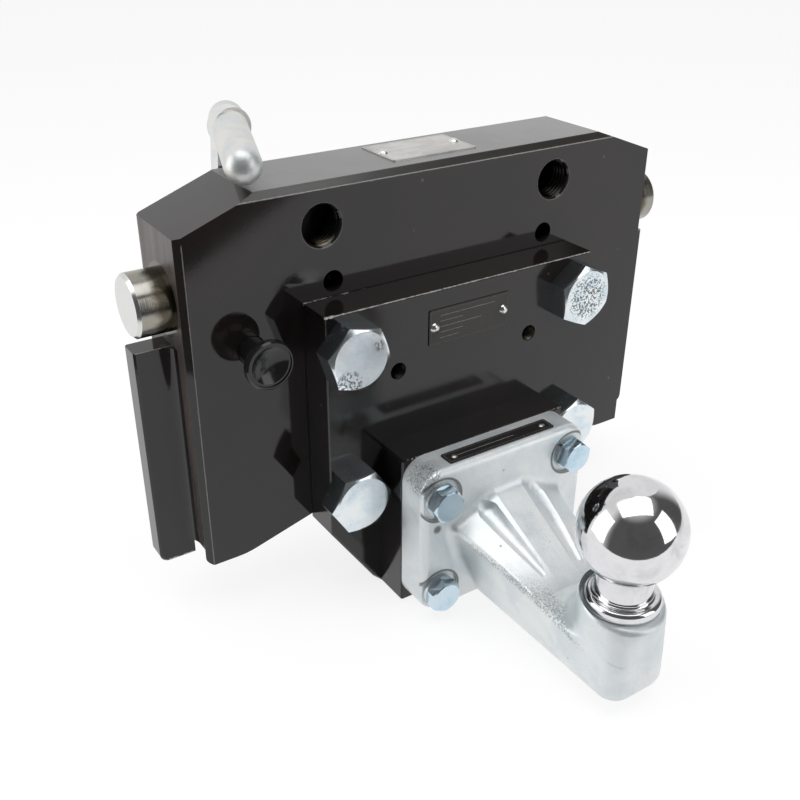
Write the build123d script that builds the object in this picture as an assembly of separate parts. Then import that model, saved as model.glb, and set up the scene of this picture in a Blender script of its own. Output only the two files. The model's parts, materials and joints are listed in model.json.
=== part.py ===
from build123d import *
import math
import os

# Height-adjustable tow ball hitch for a tractor's ladder frame. Millimetres.
# X to the right seen from the ball side, Y from the ball towards the tractor, Z up.
# Pieces are laid out from the middle of the block's front face: Y = 0 is that face and
# Z = 0 is half way between the upper and lower plate bolts. The finished pieces are then
# moved so that the origin is the centre of the tow ball.

# Running and seating clearances
BORE_PLAY = 0.05
SCREW_PLAY = 0.05
LOOSE_PLAY = 0.3

# Carriage block
BLOCK_HALF_WIDTH = 141.5
BLOCK_DEPTH = 46.0
BLOCK_TOP = 115.4
SHOULDER_TOP = 100.8
SHOULDER_RUN = 39.3
BLOCK_BOTTOM = -71.0
BOTTOM_CORNER_RADIUS = 3.5
FOOT_WIDTH = 21.6
ARCH_SHOULDER_X = 70.0
ARCH_TOP = -57.5
ARCH_FOOT_RADIUS = 40.0
ARCH_SHOULDER_RADIUS = 30.0
TOP_EDGE_CHAMFER = 3.2
SIDE_EDGE_CHAMFER = 3.0
FRONT_LIP = 3.0
CORNER_RELIEF = 9.0
REAR_EDGE_CHAMFER = 1.5

# Guide bars that run in the ladder frame's channels
BAR_WIDTH = 18.5
BAR_THICKNESS = 12.0
BAR_TOP = 46.1
BAR_BOTTOM = -72.3
BAR_CORNER_RADIUS = 5.0
BAR_EDGE_CHAMFER = 1.0
BAR_WELD_RADIUS = 8.0
BAR_WELD_BOTTOM = -62.0

# Locking pins and their rack tails
PIN_RADIUS = 17.8
PIN_END_RELIEF = 0.3
PIN_Z = 67.0
PIN_PROJECTION = 17.0
PIN_CHAMFER = 1.6
PIN_SHOULDER_X = 70.0
PIN_TAIL_X = 15.0
TAIL_FOOT_THICKNESS = 2.5
TAIL_FOOT_GAP = 1.0
FRONT_HOLE_X = 65.0
FRONT_HOLE_RADIUS = 5.4

# Rack and pinion
MODULE = 1.5
PINION_TEETH = 12
PRESSURE_ANGLE = 20.0
PROFILE_SHIFT = 0.3
BACKLASH = 0.24
PINION_TIP_CUT = 0.2
PINION_FRONT = 10.0
PINION_BACK = 36.0
RACK_GAPS_OUTWARD = 6
RACK_GAPS_INWARD = 2
LEVER_SWING = 105.0

# Return springs between the two pins
RETURN_SPRING_RADIUS = 7.0
RETURN_SPRING_OFFSET = 9.2
RETURN_WIRE_RADIUS = 0.8
RETURN_SPRING_TURNS = 7.5
WIRE_SIDES = 8

# Lever shaft, bush and hub
FRONT_JOURNAL_RADIUS = 7.0
FRONT_JOURNAL_START = 2.2
FRONT_WALL_LEFT = 1.6
REAR_JOURNAL_RADIUS = 9.0
BUSH_RADIUS = 12.0
BUSH_FRONT = 39.4
BUSH_FLANGE_RADIUS = 17.0
BUSH_FLANGE_THICKNESS = 2.0
HUB_SQUARE = 14.0
HUB_STUD_RADIUS = 6.0
HUB_STUD_LENGTH = 13.5
HUB_WASHER_RADIUS = 12.0
HUB_WASHER_THICKNESS = 2.5
HUB_NUT_FLATS = 19.0
HUB_NUT_HEIGHT = 10.0

# Hand lever
LEVER_THICKNESS = 8.0
LEVER_DISC_RADIUS = 56.0
LEVER_CROWN_RADIUS = 110.0
LEVER_CROWN_X = 13.0
LEVER_CROWN_TOP = 111.5
LEVER_ARM_WIDTH = 20.0
LEVER_ARM_Z = 72.0
LEVER_BEND_RADIUS = 28.0
LEVER_GRIP_RADIUS = 8.6
LEVER_EYE_RADIUS = 11.5
GRIP_FRONT = (-104.7, 5.8, 127.0)
GRIP_BACK = (-86.0, 62.0, 133.6)
STOP_PIN_RADIUS = 5.0
STOP_PIN_REACH = 38.0
STOP_PIN_DEPTH = 12.0

# Release knob that frees the pins when they are held back
KNOB_EDGE = 32.0
KNOB_Z = 42.0
KNOB_FACE = -20.0
KNOB_RADIUS = 12.0
KNOB_NECK_RADIUS = 7.0
KNOB_NECK_END = 2.0
KNOB_RIM = 4.4
KNOB_RING_WIDTH = 1.3
KNOB_RING_STEP = 0.7
KNOB_DISH = 2.6
KNOB_PUSH = 6.0
KNOB_SPRING_SOLID = 7.0
PLUNGER_RADIUS = 4.0
PLUNGER_HEAD_RADIUS = 9.0
PLUNGER_HEAD_LENGTH = 5.0
PLUNGER_LATCH_TRAVEL = 4.0
RELEASE_WIRE_RADIUS = 0.6
RELEASE_SPRING_TURNS = 4.5
CAP_RADIUS = 10.0
CAP_THICKNESS = 3.0

# Intermediate plate and the block welded to it
PLATE_HALF_WIDTH = 81.7
PLATE_TOP = 59.4
PLATE_THICKNESS = 21.0
PLATE_TAPER_TOP = -62.5
PLATE_FOOT_HALF_WIDTH = 57.0
PLATE_FOOT_CORNER = 5.5
PLATE_BOTTOM = -104.8
PLATE_EDGE_CHAMFER = 0.8
STAND_HALF_WIDTH = 52.0
STAND_TOP = -17.2
STAND_THICKNESS = 20.0
STAND_EDGE_CHAMFER = 1.0

# Bolt patterns on the block and the plate
PLATE_BOLT_X = 70.0
PLATE_BOLT_Z = 40.0
UPPER_HOLE_Z = 95.0
UPPER_HOLE_DEPTH = 17.0
LARGE_THREAD_RADIUS = 10.0
LARGE_CLEARANCE_RADIUS = 11.0
LARGE_HOLE_CHAMFER = 1.0
LARGE_HEAD_FLATS = 30.0
LARGE_HEAD_HEIGHT = 12.5
LARGE_BOLT_LENGTH = 35.0
LARGE_BOLT_TURNS = (0.0, 14.0, 2.0, 22.0)
HOLE_END_GAP = 1.6
ACCESSORY_HOLE_Z = 21.4
ACCESSORY_HOLE_DEPTH = 16.0
ACCESSORY_HOLE_RADIUS = 4.5

# Ball bracket flange
FLANGE_HALF_WIDTH = 52.0
FLANGE_TOP = -17.2
FLANGE_BOTTOM = -102.0
FLANGE_THICKNESS = 19.0
FLANGE_CORNER_RADIUS = 12.0
FLANGE_EDGE_RADIUS = 4.0
FLANGE_BOLT_X = 41.5
FLANGE_BOLT_HALF_Z = 28.0
FLANGE_BOLT_MIDDLE_Z = -61.2
SMALL_THREAD_RADIUS = 5.0
SMALL_CLEARANCE_RADIUS = 5.5
SMALL_HEAD_FLATS = 16.0
SMALL_HEAD_HEIGHT = 6.4
SMALL_BOLT_LENGTH = 35.0
SPOT_FACE_RADIUS = 11.5
SPOT_FACE_DEPTH = 1.5
SPRING_WASHER_RADIUS = 9.0
SPRING_WASHER_THICKNESS = 2.5
SPRING_WASHER_SPLIT = 1.5

# Ball bracket arm and nose
ARM_BOTTOM = -94.7
ARM_ROOT_HALF_WIDTH = 36.0
ARM_ROOT_SIDE_Z = -52.0
ARM_RIDGE_ROOT_Z = -38.0
RIDGE_ROOT_HALF_WIDTH = 8.5
RIDGE_END_HALF_WIDTH = 7.0
VALLEY_Y = -114.0
VALLEY_Z = -67.0
NOSE_RADIUS = 20.5
NOSE_SHOULDER_Z = -75.7
NOSE_TOP_BACK_Z = -47.0
NOSE_TOP_FRONT_Z = -57.5
NOSE_EDGE_RADIUS = 3.0
NOSE_FOOT_RADIUS = 7.0
ARM_EDGE_RADIUS = 2.5
ARM_FOOT_RADIUS = 3.0
ARM_ROOT_RADIUS = 6.0
GROOVE_ROOT = (18.0, -41.0)
GROOVE_ROOT_RADIUS = 8.0
GROOVE_END = (11.0, -60.6)
GROOVE_END_Y = -106.0
GROOVE_END_RADIUS = 3.0

# Tow ball
BALL_RADIUS = 25.0
BALL_Y = -145.2
BALL_Z = -15.5
BALL_FLAT_RADIUS = 8.5
NECK_RADIUS = 13.5
NECK_FILLET = 1.5
COLLAR_RADIUS = 18.0
COLLAR_TOP = -49.0
COLLAR_SEAT = -55.5
COLLAR_ROUND = 2.5
SEAT_RADIUS = 19.8
SHANK_RADIUS = 14.0
SHANK_TIP_CHAMFER = 1.5

# Plates with their rivets
TAG_THICKNESS = 0.6
TOP_TAG_SIZE = (50.0, 30.0)
TOP_TAG_CENTRE = (1.5, 26.3)
TAG_RIVET_MARGIN = 3.5
FRONT_TAG_SIZE = (50.0, 19.4)
FRONT_TAG_CENTRE = (1.3, 39.5)
FLANGE_TAG_SIZE = (67.0, 9.2)
FLANGE_TAG_Y = -51.2
FLANGE_TAG_RIVET_MARGIN = 5.4
RIVET_SHANK_RADIUS = 1.2
RIVET_HEAD_RADIUS = 2.7
RIVET_HEAD_HEIGHT = 1.6
RIVET_DEPTH = 4.0
SMALL_RIVET_HEAD_RADIUS = 1.9
SMALL_RIVET_HEAD_HEIGHT = 0.8

# Worked out from the sizes above
MID_DEPTH = BLOCK_DEPTH / 2
FLAT_TOP_HALF_WIDTH = BLOCK_HALF_WIDTH - SHOULDER_RUN
ARCH_FOOT_X = BLOCK_HALF_WIDTH - FOOT_WIDTH
BAR_OUTER_X = BLOCK_HALF_WIDTH + BAR_WIDTH
PIN_REACH_X = BLOCK_HALF_WIDTH + PIN_PROJECTION
PIN_END_RADIUS = PIN_RADIUS - PIN_END_RELIEF
PIN_BORE_RADIUS = PIN_RADIUS + BORE_PLAY
PITCH_RADIUS = MODULE * PINION_TEETH / 2
RACK_LINE = PITCH_RADIUS + PROFILE_SHIFT * MODULE
RACK_TIP = RACK_LINE - MODULE
RACK_ROOT = RACK_LINE + 1.25 * MODULE
PINION_TIP = PITCH_RADIUS + MODULE * (1 + PROFILE_SHIFT) - PINION_TIP_CUT
PINION_ROOT = PITCH_RADIUS - MODULE * (1.25 - PROFILE_SHIFT)
PIN_STROKE = PITCH_RADIUS * math.radians(LEVER_SWING)
LEVER_FRONT = BLOCK_DEPTH + BUSH_FLANGE_THICKNESS
LEVER_BACK = LEVER_FRONT + LEVER_THICKNESS
PLATE_FRONT = -PLATE_THICKNESS
STAND_FRONT = PLATE_FRONT - STAND_THICKNESS
FLANGE_FRONT = STAND_FRONT - FLANGE_THICKNESS
ARM_ROOT_Y = FLANGE_FRONT + 3
SPOT_FACE = FLANGE_FRONT + SPOT_FACE_DEPTH
PLUNGER_TOP_Z = KNOB_Z + PLUNGER_HEAD_RADIUS
PLUNGER_HEAD_FRONT = MID_DEPTH + math.sqrt(
    (PIN_RADIUS + LOOSE_PLAY) ** 2 - (PIN_Z - PLUNGER_TOP_Z) ** 2
)
PLUNGER_HEAD_BORE = PLUNGER_HEAD_RADIUS + LOOSE_PLAY
KNOB_X = KNOB_EDGE - BLOCK_HALF_WIDTH
KNOB_POCKET_DEPTH = KNOB_NECK_END + KNOB_PUSH + KNOB_SPRING_SOLID
LARGE_HOLE_DEPTH = LARGE_BOLT_LENGTH - PLATE_THICKNESS + HOLE_END_GAP
SMALL_HOLE_END = SPOT_FACE - SPRING_WASHER_THICKNESS + SMALL_BOLT_LENGTH + HOLE_END_GAP
TOP_RIVET_SPACING = TOP_TAG_SIZE[0] - 2 * TAG_RIVET_MARGIN
FRONT_RIVET_SPACING = FRONT_TAG_SIZE[0] - 2 * TAG_RIVET_MARGIN
FLANGE_RIVET_SPACING = FLANGE_TAG_SIZE[0] - 2 * FLANGE_TAG_RIVET_MARGIN
TO_BALL_CENTRE = Pos(0, -BALL_Y, -BALL_Z)


def front_plane(y):
    """Sketch plane at depth y, facing the ball side, with local x along X and local y up."""
    return Plane(origin=(0, y, 0), x_dir=(1, 0, 0), z_dir=(0, -1, 0))


def slab(outline, front, back):
    """Extrude an outline drawn in X and Z from one depth to another."""
    return extrude(front_plane(back) * outline, amount=back - front)


def rod_y(radius, x, z, front, back):
    """Round bar along Y."""
    return slab(Pos(x, z) * Circle(radius), front, back)


def rod_x(radius, y, z, left, right):
    """Round bar along X."""
    section = Plane(origin=(left, y, z), x_dir=(0, 1, 0), z_dir=(1, 0, 0)) * Circle(radius)
    return extrude(section, amount=right - left)


def turned_y(points, x, z):
    """Solid turned about an axis along Y from (radius, y) points."""
    profile = Plane(origin=(x, 0, z), x_dir=(1, 0, 0), z_dir=(0, 0, 1)) * make_face(
        Polyline(*points, close=True)
    )
    return revolve(profile, axis=Axis((x, 0, z), (0, 1, 0)))


def polygon(*points):
    """Closed face through points in the sketch plane."""
    return make_face(Polyline(*points, close=True))


def mirrored(shape):
    """Copy on the other side of the middle plane."""
    return mirror(shape, about=Plane.YZ)


def corners_at(outline, x_size, y):
    """Vertices of an outline at plus and minus x_size and at height y."""
    return [
        v for v in outline.vertices()
        if abs(abs(v.X) - x_size) < 1e-3 and abs(v.Y - y) < 1e-3
    ]


def hex_head(flats, height, turn):
    """Hexagon head with a turned chamfer, standing along -Y from y = 0."""
    corner = flats / math.sqrt(3)
    face_radius = 0.475 * flats
    drop = (corner - face_radius) * math.tan(math.radians(30))
    prism = slab(Rot(0, 0, turn) * RegularPolygon(corner, 6), -height, 0)
    limit = turned_y(
        ((0, 0), (corner + 1, 0), (corner + 1, drop - height), (corner, drop - height),
         (face_radius, -height), (0, -height)),
        0, 0,
    )
    return prism & limit


def hex_bolt(flats, height, radius, length, turn=0.0):
    """Bolt with its head seat at y = 0 and its shank along +Y."""
    tip = radius * 0.15
    shank = turned_y(
        ((0, 0), (radius, 0), (radius, length - tip), (radius - tip, length), (0, length)), 0, 0
    )
    return hex_head(flats, height, turn) + shank


def coil(radius, wire_radius, turns, length):
    """Compression spring along Z from 0 to length, with ground ends."""
    path = Helix(
        pitch=length / turns, height=length + 2 * wire_radius, radius=radius - wire_radius)
    section = Plane(origin=path @ 0, z_dir=path % 0) * RegularPolygon(wire_radius, WIRE_SIDES)
    wire = Pos(0, 0, -wire_radius) * sweep(section, path=path)
    keep = Cylinder(radius * 2, length, align=(Align.CENTER, Align.CENTER, Align.MIN))
    return wire & keep


# Carriage block

def block_outline(bottom_corner):
    """Front outline of the block, with the arch under its middle."""
    w, foot, shoulder = BLOCK_HALF_WIDTH, ARCH_FOOT_X, ARCH_SHOULDER_X
    half = [
        (FLAT_TOP_HALF_WIDTH, BLOCK_TOP), (w, SHOULDER_TOP), (w, BLOCK_BOTTOM),
        (foot, BLOCK_BOTTOM), (shoulder, ARCH_TOP),
    ]
    outline = polygon(*half, *[(-x, z) for x, z in reversed(half)])
    outline = fillet(corners_at(outline, foot, BLOCK_BOTTOM), ARCH_FOOT_RADIUS)
    outline = fillet(corners_at(outline, shoulder, ARCH_TOP), ARCH_SHOULDER_RADIUS)
    corners = corners_at(outline, w, BLOCK_BOTTOM)
    if bottom_corner == "relieved":
        return chamfer(corners, CORNER_RELIEF)
    return fillet(corners, BOTTOM_CORNER_RADIUS)


def block_shell():
    """The block before its bores, with its chamfered edges."""
    lip = slab(block_outline("full"), 0, FRONT_LIP)
    body = slab(block_outline("relieved"), FRONT_LIP, BLOCK_DEPTH)
    block = lip + body
    top_front = [
        e for e in block.edges().filter_by(Axis.X)
        if abs(e.center().Z - BLOCK_TOP) < 1e-3 and abs(e.center().Y) < 1e-3
    ]
    block = chamfer(top_front, TOP_EDGE_CHAMFER)
    corner = BLOCK_HALF_WIDTH
    size = SIDE_EDGE_CHAMFER
    wedge = extrude(
        polygon((corner, 0), (corner - size, 0), (corner, size)),
        amount=BLOCK_TOP - BLOCK_BOTTOM + 2,
    )
    wedge = Pos(0, 0, BLOCK_BOTTOM - 1) * wedge
    block = block - wedge - mirrored(wedge)
    rear = [
        e for e in block.edges().filter_by(Axis.Z)
        if abs(e.center().Y - BLOCK_DEPTH) < 1e-3
    ]
    return chamfer(rear, REAR_EDGE_CHAMFER)


def threaded_mouth(radius, x, z, mouth, depth):
    """Tool for a tapped hole from the front, with its countersunk mouth."""
    wide = radius + LARGE_HOLE_CHAMFER
    return turned_y(
        ((0, mouth - 1), (wide + 1, mouth - 1), (radius, mouth + LARGE_HOLE_CHAMFER),
         (radius, mouth + depth), (0, mouth + depth)),
        x, z,
    )


def release_bores():
    """Pocket, rod hole and head bore for the release plunger."""
    pocket = rod_y(KNOB_NECK_RADIUS + LOOSE_PLAY, KNOB_X, KNOB_Z, -1, KNOB_POCKET_DEPTH)
    head_start = PLUNGER_HEAD_FRONT - PLUNGER_LATCH_TRAVEL - LOOSE_PLAY
    rod = rod_y(PLUNGER_RADIUS + BORE_PLAY, KNOB_X, KNOB_Z, 0, head_start + 1)
    head = rod_y(PLUNGER_HEAD_BORE, KNOB_X, KNOB_Z, head_start, BLOCK_DEPTH)
    seat = rod_y(
        CAP_RADIUS + SCREW_PLAY, KNOB_X, KNOB_Z, BLOCK_DEPTH - CAP_THICKNESS, BLOCK_DEPTH + 1
    )
    return pocket + rod + head + seat


def carriage_body():
    """Steel block with the cross bore for the pins and all its tapped holes."""
    block = block_shell()
    block -= rod_x(
        PIN_BORE_RADIUS, MID_DEPTH, PIN_Z, -BLOCK_HALF_WIDTH - 1, BLOCK_HALF_WIDTH + 1
    )
    block -= rod_y(
        FRONT_JOURNAL_RADIUS + BORE_PLAY, 0, PIN_Z, FRONT_WALL_LEFT, MID_DEPTH
    )
    block -= rod_y(BUSH_RADIUS + SCREW_PLAY, 0, PIN_Z, MID_DEPTH, BLOCK_DEPTH + 1)
    block -= release_bores()
    block -= rod_y(
        STOP_PIN_RADIUS + SCREW_PLAY, 0, PIN_Z - STOP_PIN_REACH,
        BLOCK_DEPTH - STOP_PIN_DEPTH, BLOCK_DEPTH + 1,
    )
    for side in (-1, 1):
        block -= threaded_mouth(
            LARGE_THREAD_RADIUS, side * PLATE_BOLT_X, UPPER_HOLE_Z, 0, UPPER_HOLE_DEPTH
        )
        block -= rod_y(FRONT_HOLE_RADIUS, side * FRONT_HOLE_X, PIN_Z, -1, MID_DEPTH)
        for z in (-PLATE_BOLT_Z, PLATE_BOLT_Z):
            block -= rod_y(
                LARGE_THREAD_RADIUS + SCREW_PLAY, side * PLATE_BOLT_X, z, -1, LARGE_HOLE_DEPTH
            )
    for x, y in tag_rivet_points(TOP_TAG_CENTRE, TOP_RIVET_SPACING):
        hole = Cylinder(
            RIVET_SHANK_RADIUS + SCREW_PLAY, RIVET_DEPTH + 1,
            align=(Align.CENTER, Align.CENTER, Align.MAX),
        )
        block -= Pos(x, y, BLOCK_TOP) * hole
    return block


def left_guide_bar():
    """Flat bar welded to the block's side, with the weld along its front."""
    inner = -BLOCK_HALF_WIDTH
    outer = -BAR_OUTER_X
    front = MID_DEPTH - BAR_THICKNESS / 2
    back = MID_DEPTH + BAR_THICKNESS / 2
    flat = slab(
        polygon((outer, BAR_BOTTOM), (inner, BAR_BOTTOM), (inner, BAR_TOP), (outer, BAR_TOP)),
        front, back,
    )
    lower = [
        e for e in flat.edges().filter_by(Axis.Y)
        if abs(e.center().X - outer) < 1e-3 and e.center().Z < 0
    ]
    flat = fillet(lower, BAR_CORNER_RADIUS)
    long_edges = [e for e in flat.edges().filter_by(Axis.Z) if abs(e.center().X - outer) < 1e-3]
    flat = chamfer(long_edges, BAR_EDGE_CHAMFER)
    weld = BAR_WELD_RADIUS
    middle = weld * math.cos(math.radians(45))
    section = make_face(
        Curve() + [
            ThreePointArc(
                (inner - weld, front), (inner - weld + middle, front - weld + middle),
                (inner, front - weld),
            ),
            Line((inner, front - weld), (inner, front)),
            Line((inner, front), (inner - weld, front)),
        ]
    )
    bead = Pos(0, 0, BAR_WELD_BOTTOM) * extrude(section, amount=BAR_TOP - BAR_WELD_BOTTOM)
    return flat + bead


# Locking pins, racks and pinion

def involute_point(base, radius):
    """Angle swept by the involute of a base circle out to a radius."""
    ratio = max(1.0, radius / base)
    pressure = math.acos(1 / ratio)
    return math.tan(pressure) - pressure


def tooth_half_angle(radius):
    """Half the angle of a pinion tooth's thickness at a radius."""
    alpha = math.radians(PRESSURE_ANGLE)
    base = PITCH_RADIUS * math.cos(alpha)
    thickness = MODULE * (math.pi / 2 + 2 * PROFILE_SHIFT * math.tan(alpha)) - BACKLASH
    at_pitch = thickness / (2 * PITCH_RADIUS)
    return at_pitch + involute_point(base, PITCH_RADIUS) - involute_point(base, radius)


def tooth_corner(radius, side, centre):
    """Point on a tooth's flank at a radius."""
    angle = centre + side * tooth_half_angle(radius)
    return (radius * math.cos(angle), radius * math.sin(angle))


def pinion_section():
    """Outline of the pinion's toothed part about the origin."""
    middle = (PINION_ROOT + PINION_TIP) / 2
    edges = []
    step = 2 * math.pi / PINION_TEETH
    for i in range(PINION_TEETH):
        centre = math.pi / 2 + i * step
        root_start = tooth_corner(PINION_ROOT, -1, centre)
        tip_start = tooth_corner(PINION_TIP, -1, centre)
        tip_end = tooth_corner(PINION_TIP, 1, centre)
        root_end = tooth_corner(PINION_ROOT, 1, centre)
        next_root = tooth_corner(PINION_ROOT, -1, centre + step)
        edges.append(ThreePointArc(root_start, tooth_corner(middle, -1, centre), tip_start))
        edges.append(Line(tip_start, tip_end))
        edges.append(ThreePointArc(tip_end, tooth_corner(middle, 1, centre), root_end))
        edges.append(Line(root_end, next_root))
    return make_face(Curve() + edges)


def rack_gap(x):
    """Gap between two rack teeth, centred at x, above the pin's axis."""
    slope = math.tan(math.radians(PRESSURE_ANGLE))
    half = math.pi * MODULE / 4
    at_tip = half + (RACK_LINE - RACK_TIP) * slope
    at_root = half - (RACK_ROOT - RACK_LINE) * slope
    return polygon(
        (x - at_tip, RACK_TIP - 0.01), (x + at_tip, RACK_TIP - 0.01),
        (x + at_root, RACK_ROOT), (x - at_root, RACK_ROOT),
    )


def pin_rod():
    """Right pin from its shoulder outwards, turned down where it stands out of the block."""
    body = rod_x(PIN_RADIUS, MID_DEPTH, PIN_Z, PIN_SHOULDER_X, BLOCK_HALF_WIDTH)
    end = rod_x(PIN_END_RADIUS, MID_DEPTH, PIN_Z, BLOCK_HALF_WIDTH, PIN_REACH_X)
    nose = [e for e in end.edges() if abs(e.center().X - PIN_REACH_X) < 1e-3]
    return body + chamfer(nose, PIN_CHAMFER)


def left_locking_pin():
    """Pin with its chamfered nose, its latch groove and the rack above the pinion."""
    body = mirrored(pin_rod())
    top = PIN_RADIUS + 1
    tail = polygon(
        (-PIN_SHOULDER_X - 1, RACK_TIP), (PIN_TAIL_X - TAIL_FOOT_THICKNESS, RACK_TIP),
        (PIN_TAIL_X - TAIL_FOOT_THICKNESS, TAIL_FOOT_GAP), (PIN_TAIL_X, TAIL_FOOT_GAP),
        (PIN_TAIL_X, top), (-PIN_SHOULDER_X - 1, top),
    )
    pitch = math.pi * MODULE
    for k in range(-RACK_GAPS_OUTWARD, RACK_GAPS_INWARD + 1):
        tail -= rack_gap(k * pitch)
    tail = slab(Pos(0, PIN_Z) * tail, MID_DEPTH - top, MID_DEPTH + top)
    tail &= rod_x(PIN_RADIUS, MID_DEPTH, PIN_Z, -PIN_SHOULDER_X - 1, PIN_TAIL_X)
    groove = rod_y(
        PLUNGER_HEAD_BORE, KNOB_X - PIN_STROKE, KNOB_Z,
        PLUNGER_HEAD_FRONT - PLUNGER_LATCH_TRAVEL - LOOSE_PLAY, BLOCK_DEPTH,
    )
    return body + tail - groove


def right_locking_pin():
    """The same pin turned half a turn about the lever shaft, without the latch groove."""
    body = pin_rod()
    cut = Pos(0, 0, PIN_Z) * Box(
        2 * BAR_OUTER_X, BLOCK_DEPTH, 2 * PIN_RADIUS, align=(Align.MAX, Align.MIN, Align.CENTER)
    )
    spare = Pos(-PIN_SHOULDER_X, 0, 0) * cut
    tail = left_locking_pin() - spare
    turned = Pos(0, 0, PIN_Z) * Rot(0, 180, 0) * Pos(0, 0, -PIN_Z) * tail
    return body + turned


def return_spring(side):
    """Spring from one pin's rack tail to the other pin's shoulder."""
    length = PIN_SHOULDER_X - PIN_TAIL_X
    spring = coil(RETURN_SPRING_RADIUS, RETURN_WIRE_RADIUS, RETURN_SPRING_TURNS, length)
    spring = Rot(0, 90, 0) * spring
    spring = Pos(PIN_TAIL_X, MID_DEPTH, PIN_Z + RETURN_SPRING_OFFSET) * spring
    if side == "right":
        return spring
    return Pos(0, 0, PIN_Z) * Rot(0, 180, 0) * Pos(0, 0, -PIN_Z) * spring


def pinion_shaft():
    """Lever shaft with its pinion teeth, journals, square and threaded end."""
    teeth = slab(Pos(0, PIN_Z) * pinion_section(), PINION_FRONT, PINION_BACK)
    front = FRONT_JOURNAL_START
    core = turned_y(
        ((0, front), (FRONT_JOURNAL_RADIUS, front), (FRONT_JOURNAL_RADIUS, BUSH_FRONT - LOOSE_PLAY),
         (REAR_JOURNAL_RADIUS, BUSH_FRONT - LOOSE_PLAY), (REAR_JOURNAL_RADIUS, LEVER_FRONT),
         (0, LEVER_FRONT)),
        0, PIN_Z,
    )
    square = slab(Pos(0, PIN_Z) * Rectangle(HUB_SQUARE, HUB_SQUARE), LEVER_FRONT, LEVER_BACK)
    square &= rod_y(REAR_JOURNAL_RADIUS, 0, PIN_Z, LEVER_FRONT, LEVER_BACK)
    end = LEVER_BACK + HUB_STUD_LENGTH
    stud = turned_y(
        ((0, LEVER_BACK), (HUB_STUD_RADIUS, LEVER_BACK), (HUB_STUD_RADIUS, end - 1),
         (HUB_STUD_RADIUS - 1, end), (0, end)),
        0, PIN_Z,
    )
    return core + teeth + square + stud


def shaft_bush():
    """Flanged bronze bush in the block's rear wall."""
    inner = REAR_JOURNAL_RADIUS + BORE_PLAY
    flange_back = BLOCK_DEPTH + BUSH_FLANGE_THICKNESS
    return turned_y(
        ((inner, BUSH_FRONT), (BUSH_RADIUS, BUSH_FRONT), (BUSH_RADIUS, BLOCK_DEPTH),
         (BUSH_FLANGE_RADIUS, BLOCK_DEPTH), (BUSH_FLANGE_RADIUS, flange_back),
         (inner, flange_back)),
        0, PIN_Z,
    )


# Hand lever

def stop_slot():
    """Curved slot in the lever's disc, drawn about the shaft."""
    width = STOP_PIN_RADIUS + LOOSE_PLAY
    start = -90.0
    ring = Circle(STOP_PIN_REACH + width) - Circle(STOP_PIN_REACH - width)
    reach = 2 * STOP_PIN_REACH
    first = math.radians(start)
    last = math.radians(start + LEVER_SWING)
    sweep_points = [(0, 0)]
    for i in range(5):
        angle = first + (last - first) * i / 4
        sweep_points.append((reach * math.cos(angle), reach * math.sin(angle)))
    slot = ring & polygon(*sweep_points)
    for angle in (first, last):
        end = (STOP_PIN_REACH * math.cos(angle), STOP_PIN_REACH * math.sin(angle))
        slot += Pos(*end) * Circle(width)
    return slot


def grip_axis():
    """Unit vector and length from the grip's front centre to its back centre."""
    along = Vector(*GRIP_BACK) - Vector(*GRIP_FRONT)
    return along.normalized(), along.length


def lever_plate():
    """Flat lever cut from plate: slotted disc with a flatter crown, swept arm and eye."""
    eye_x = GRIP_FRONT[0] + (GRIP_BACK[0] - GRIP_FRONT[0]) * (
        (LEVER_FRONT + LEVER_BACK) / 2 - GRIP_FRONT[1]) / (GRIP_BACK[1] - GRIP_FRONT[1])
    eye_z = GRIP_FRONT[2] + (GRIP_BACK[2] - GRIP_FRONT[2]) * (
        (LEVER_FRONT + LEVER_BACK) / 2 - GRIP_FRONT[1]) / (GRIP_BACK[1] - GRIP_FRONT[1])
    half = LEVER_ARM_WIDTH / 2
    bend_x = eye_x + LEVER_BEND_RADIUS
    bend_z = LEVER_ARM_Z + LEVER_BEND_RADIUS
    crown_z = LEVER_CROWN_TOP - LEVER_CROWN_RADIUS
    outline = Pos(0, PIN_Z) * Circle(LEVER_DISC_RADIUS)
    outline &= Pos(LEVER_CROWN_X, crown_z) * Circle(LEVER_CROWN_RADIUS)
    outline += polygon(
        (0, LEVER_ARM_Z - half), (0, LEVER_ARM_Z + half),
        (bend_x, LEVER_ARM_Z + half), (bend_x, LEVER_ARM_Z - half),
    )
    bend = Circle(LEVER_BEND_RADIUS + half) - Circle(LEVER_BEND_RADIUS - half)
    reach = LEVER_BEND_RADIUS + LEVER_ARM_WIDTH
    bend &= polygon((0, 0), (-reach, 0), (-reach, -reach), (0, -reach))
    outline += Pos(bend_x, bend_z) * bend
    outline += polygon(
        (eye_x - half, bend_z), (eye_x + half, bend_z),
        (eye_x + half, eye_z), (eye_x - half, eye_z),
    )
    outline += Pos(eye_x, eye_z) * Circle(LEVER_EYE_RADIUS)
    outline -= Pos(0, PIN_Z) * stop_slot()
    lever = slab(outline, LEVER_FRONT, LEVER_BACK)
    square = slab(
        Pos(0, PIN_Z) * Rectangle(HUB_SQUARE + 2 * SCREW_PLAY, HUB_SQUARE + 2 * SCREW_PLAY),
        LEVER_FRONT - 1, LEVER_BACK + 1,
    )
    square &= rod_y(REAR_JOURNAL_RADIUS + SCREW_PLAY, 0, PIN_Z, LEVER_FRONT - 1, LEVER_BACK + 1)
    axis, length = grip_axis()
    hole = Plane(origin=GRIP_FRONT, z_dir=axis) * Circle(LEVER_GRIP_RADIUS + SCREW_PLAY)
    return lever - square - extrude(hole, amount=length)


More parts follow.
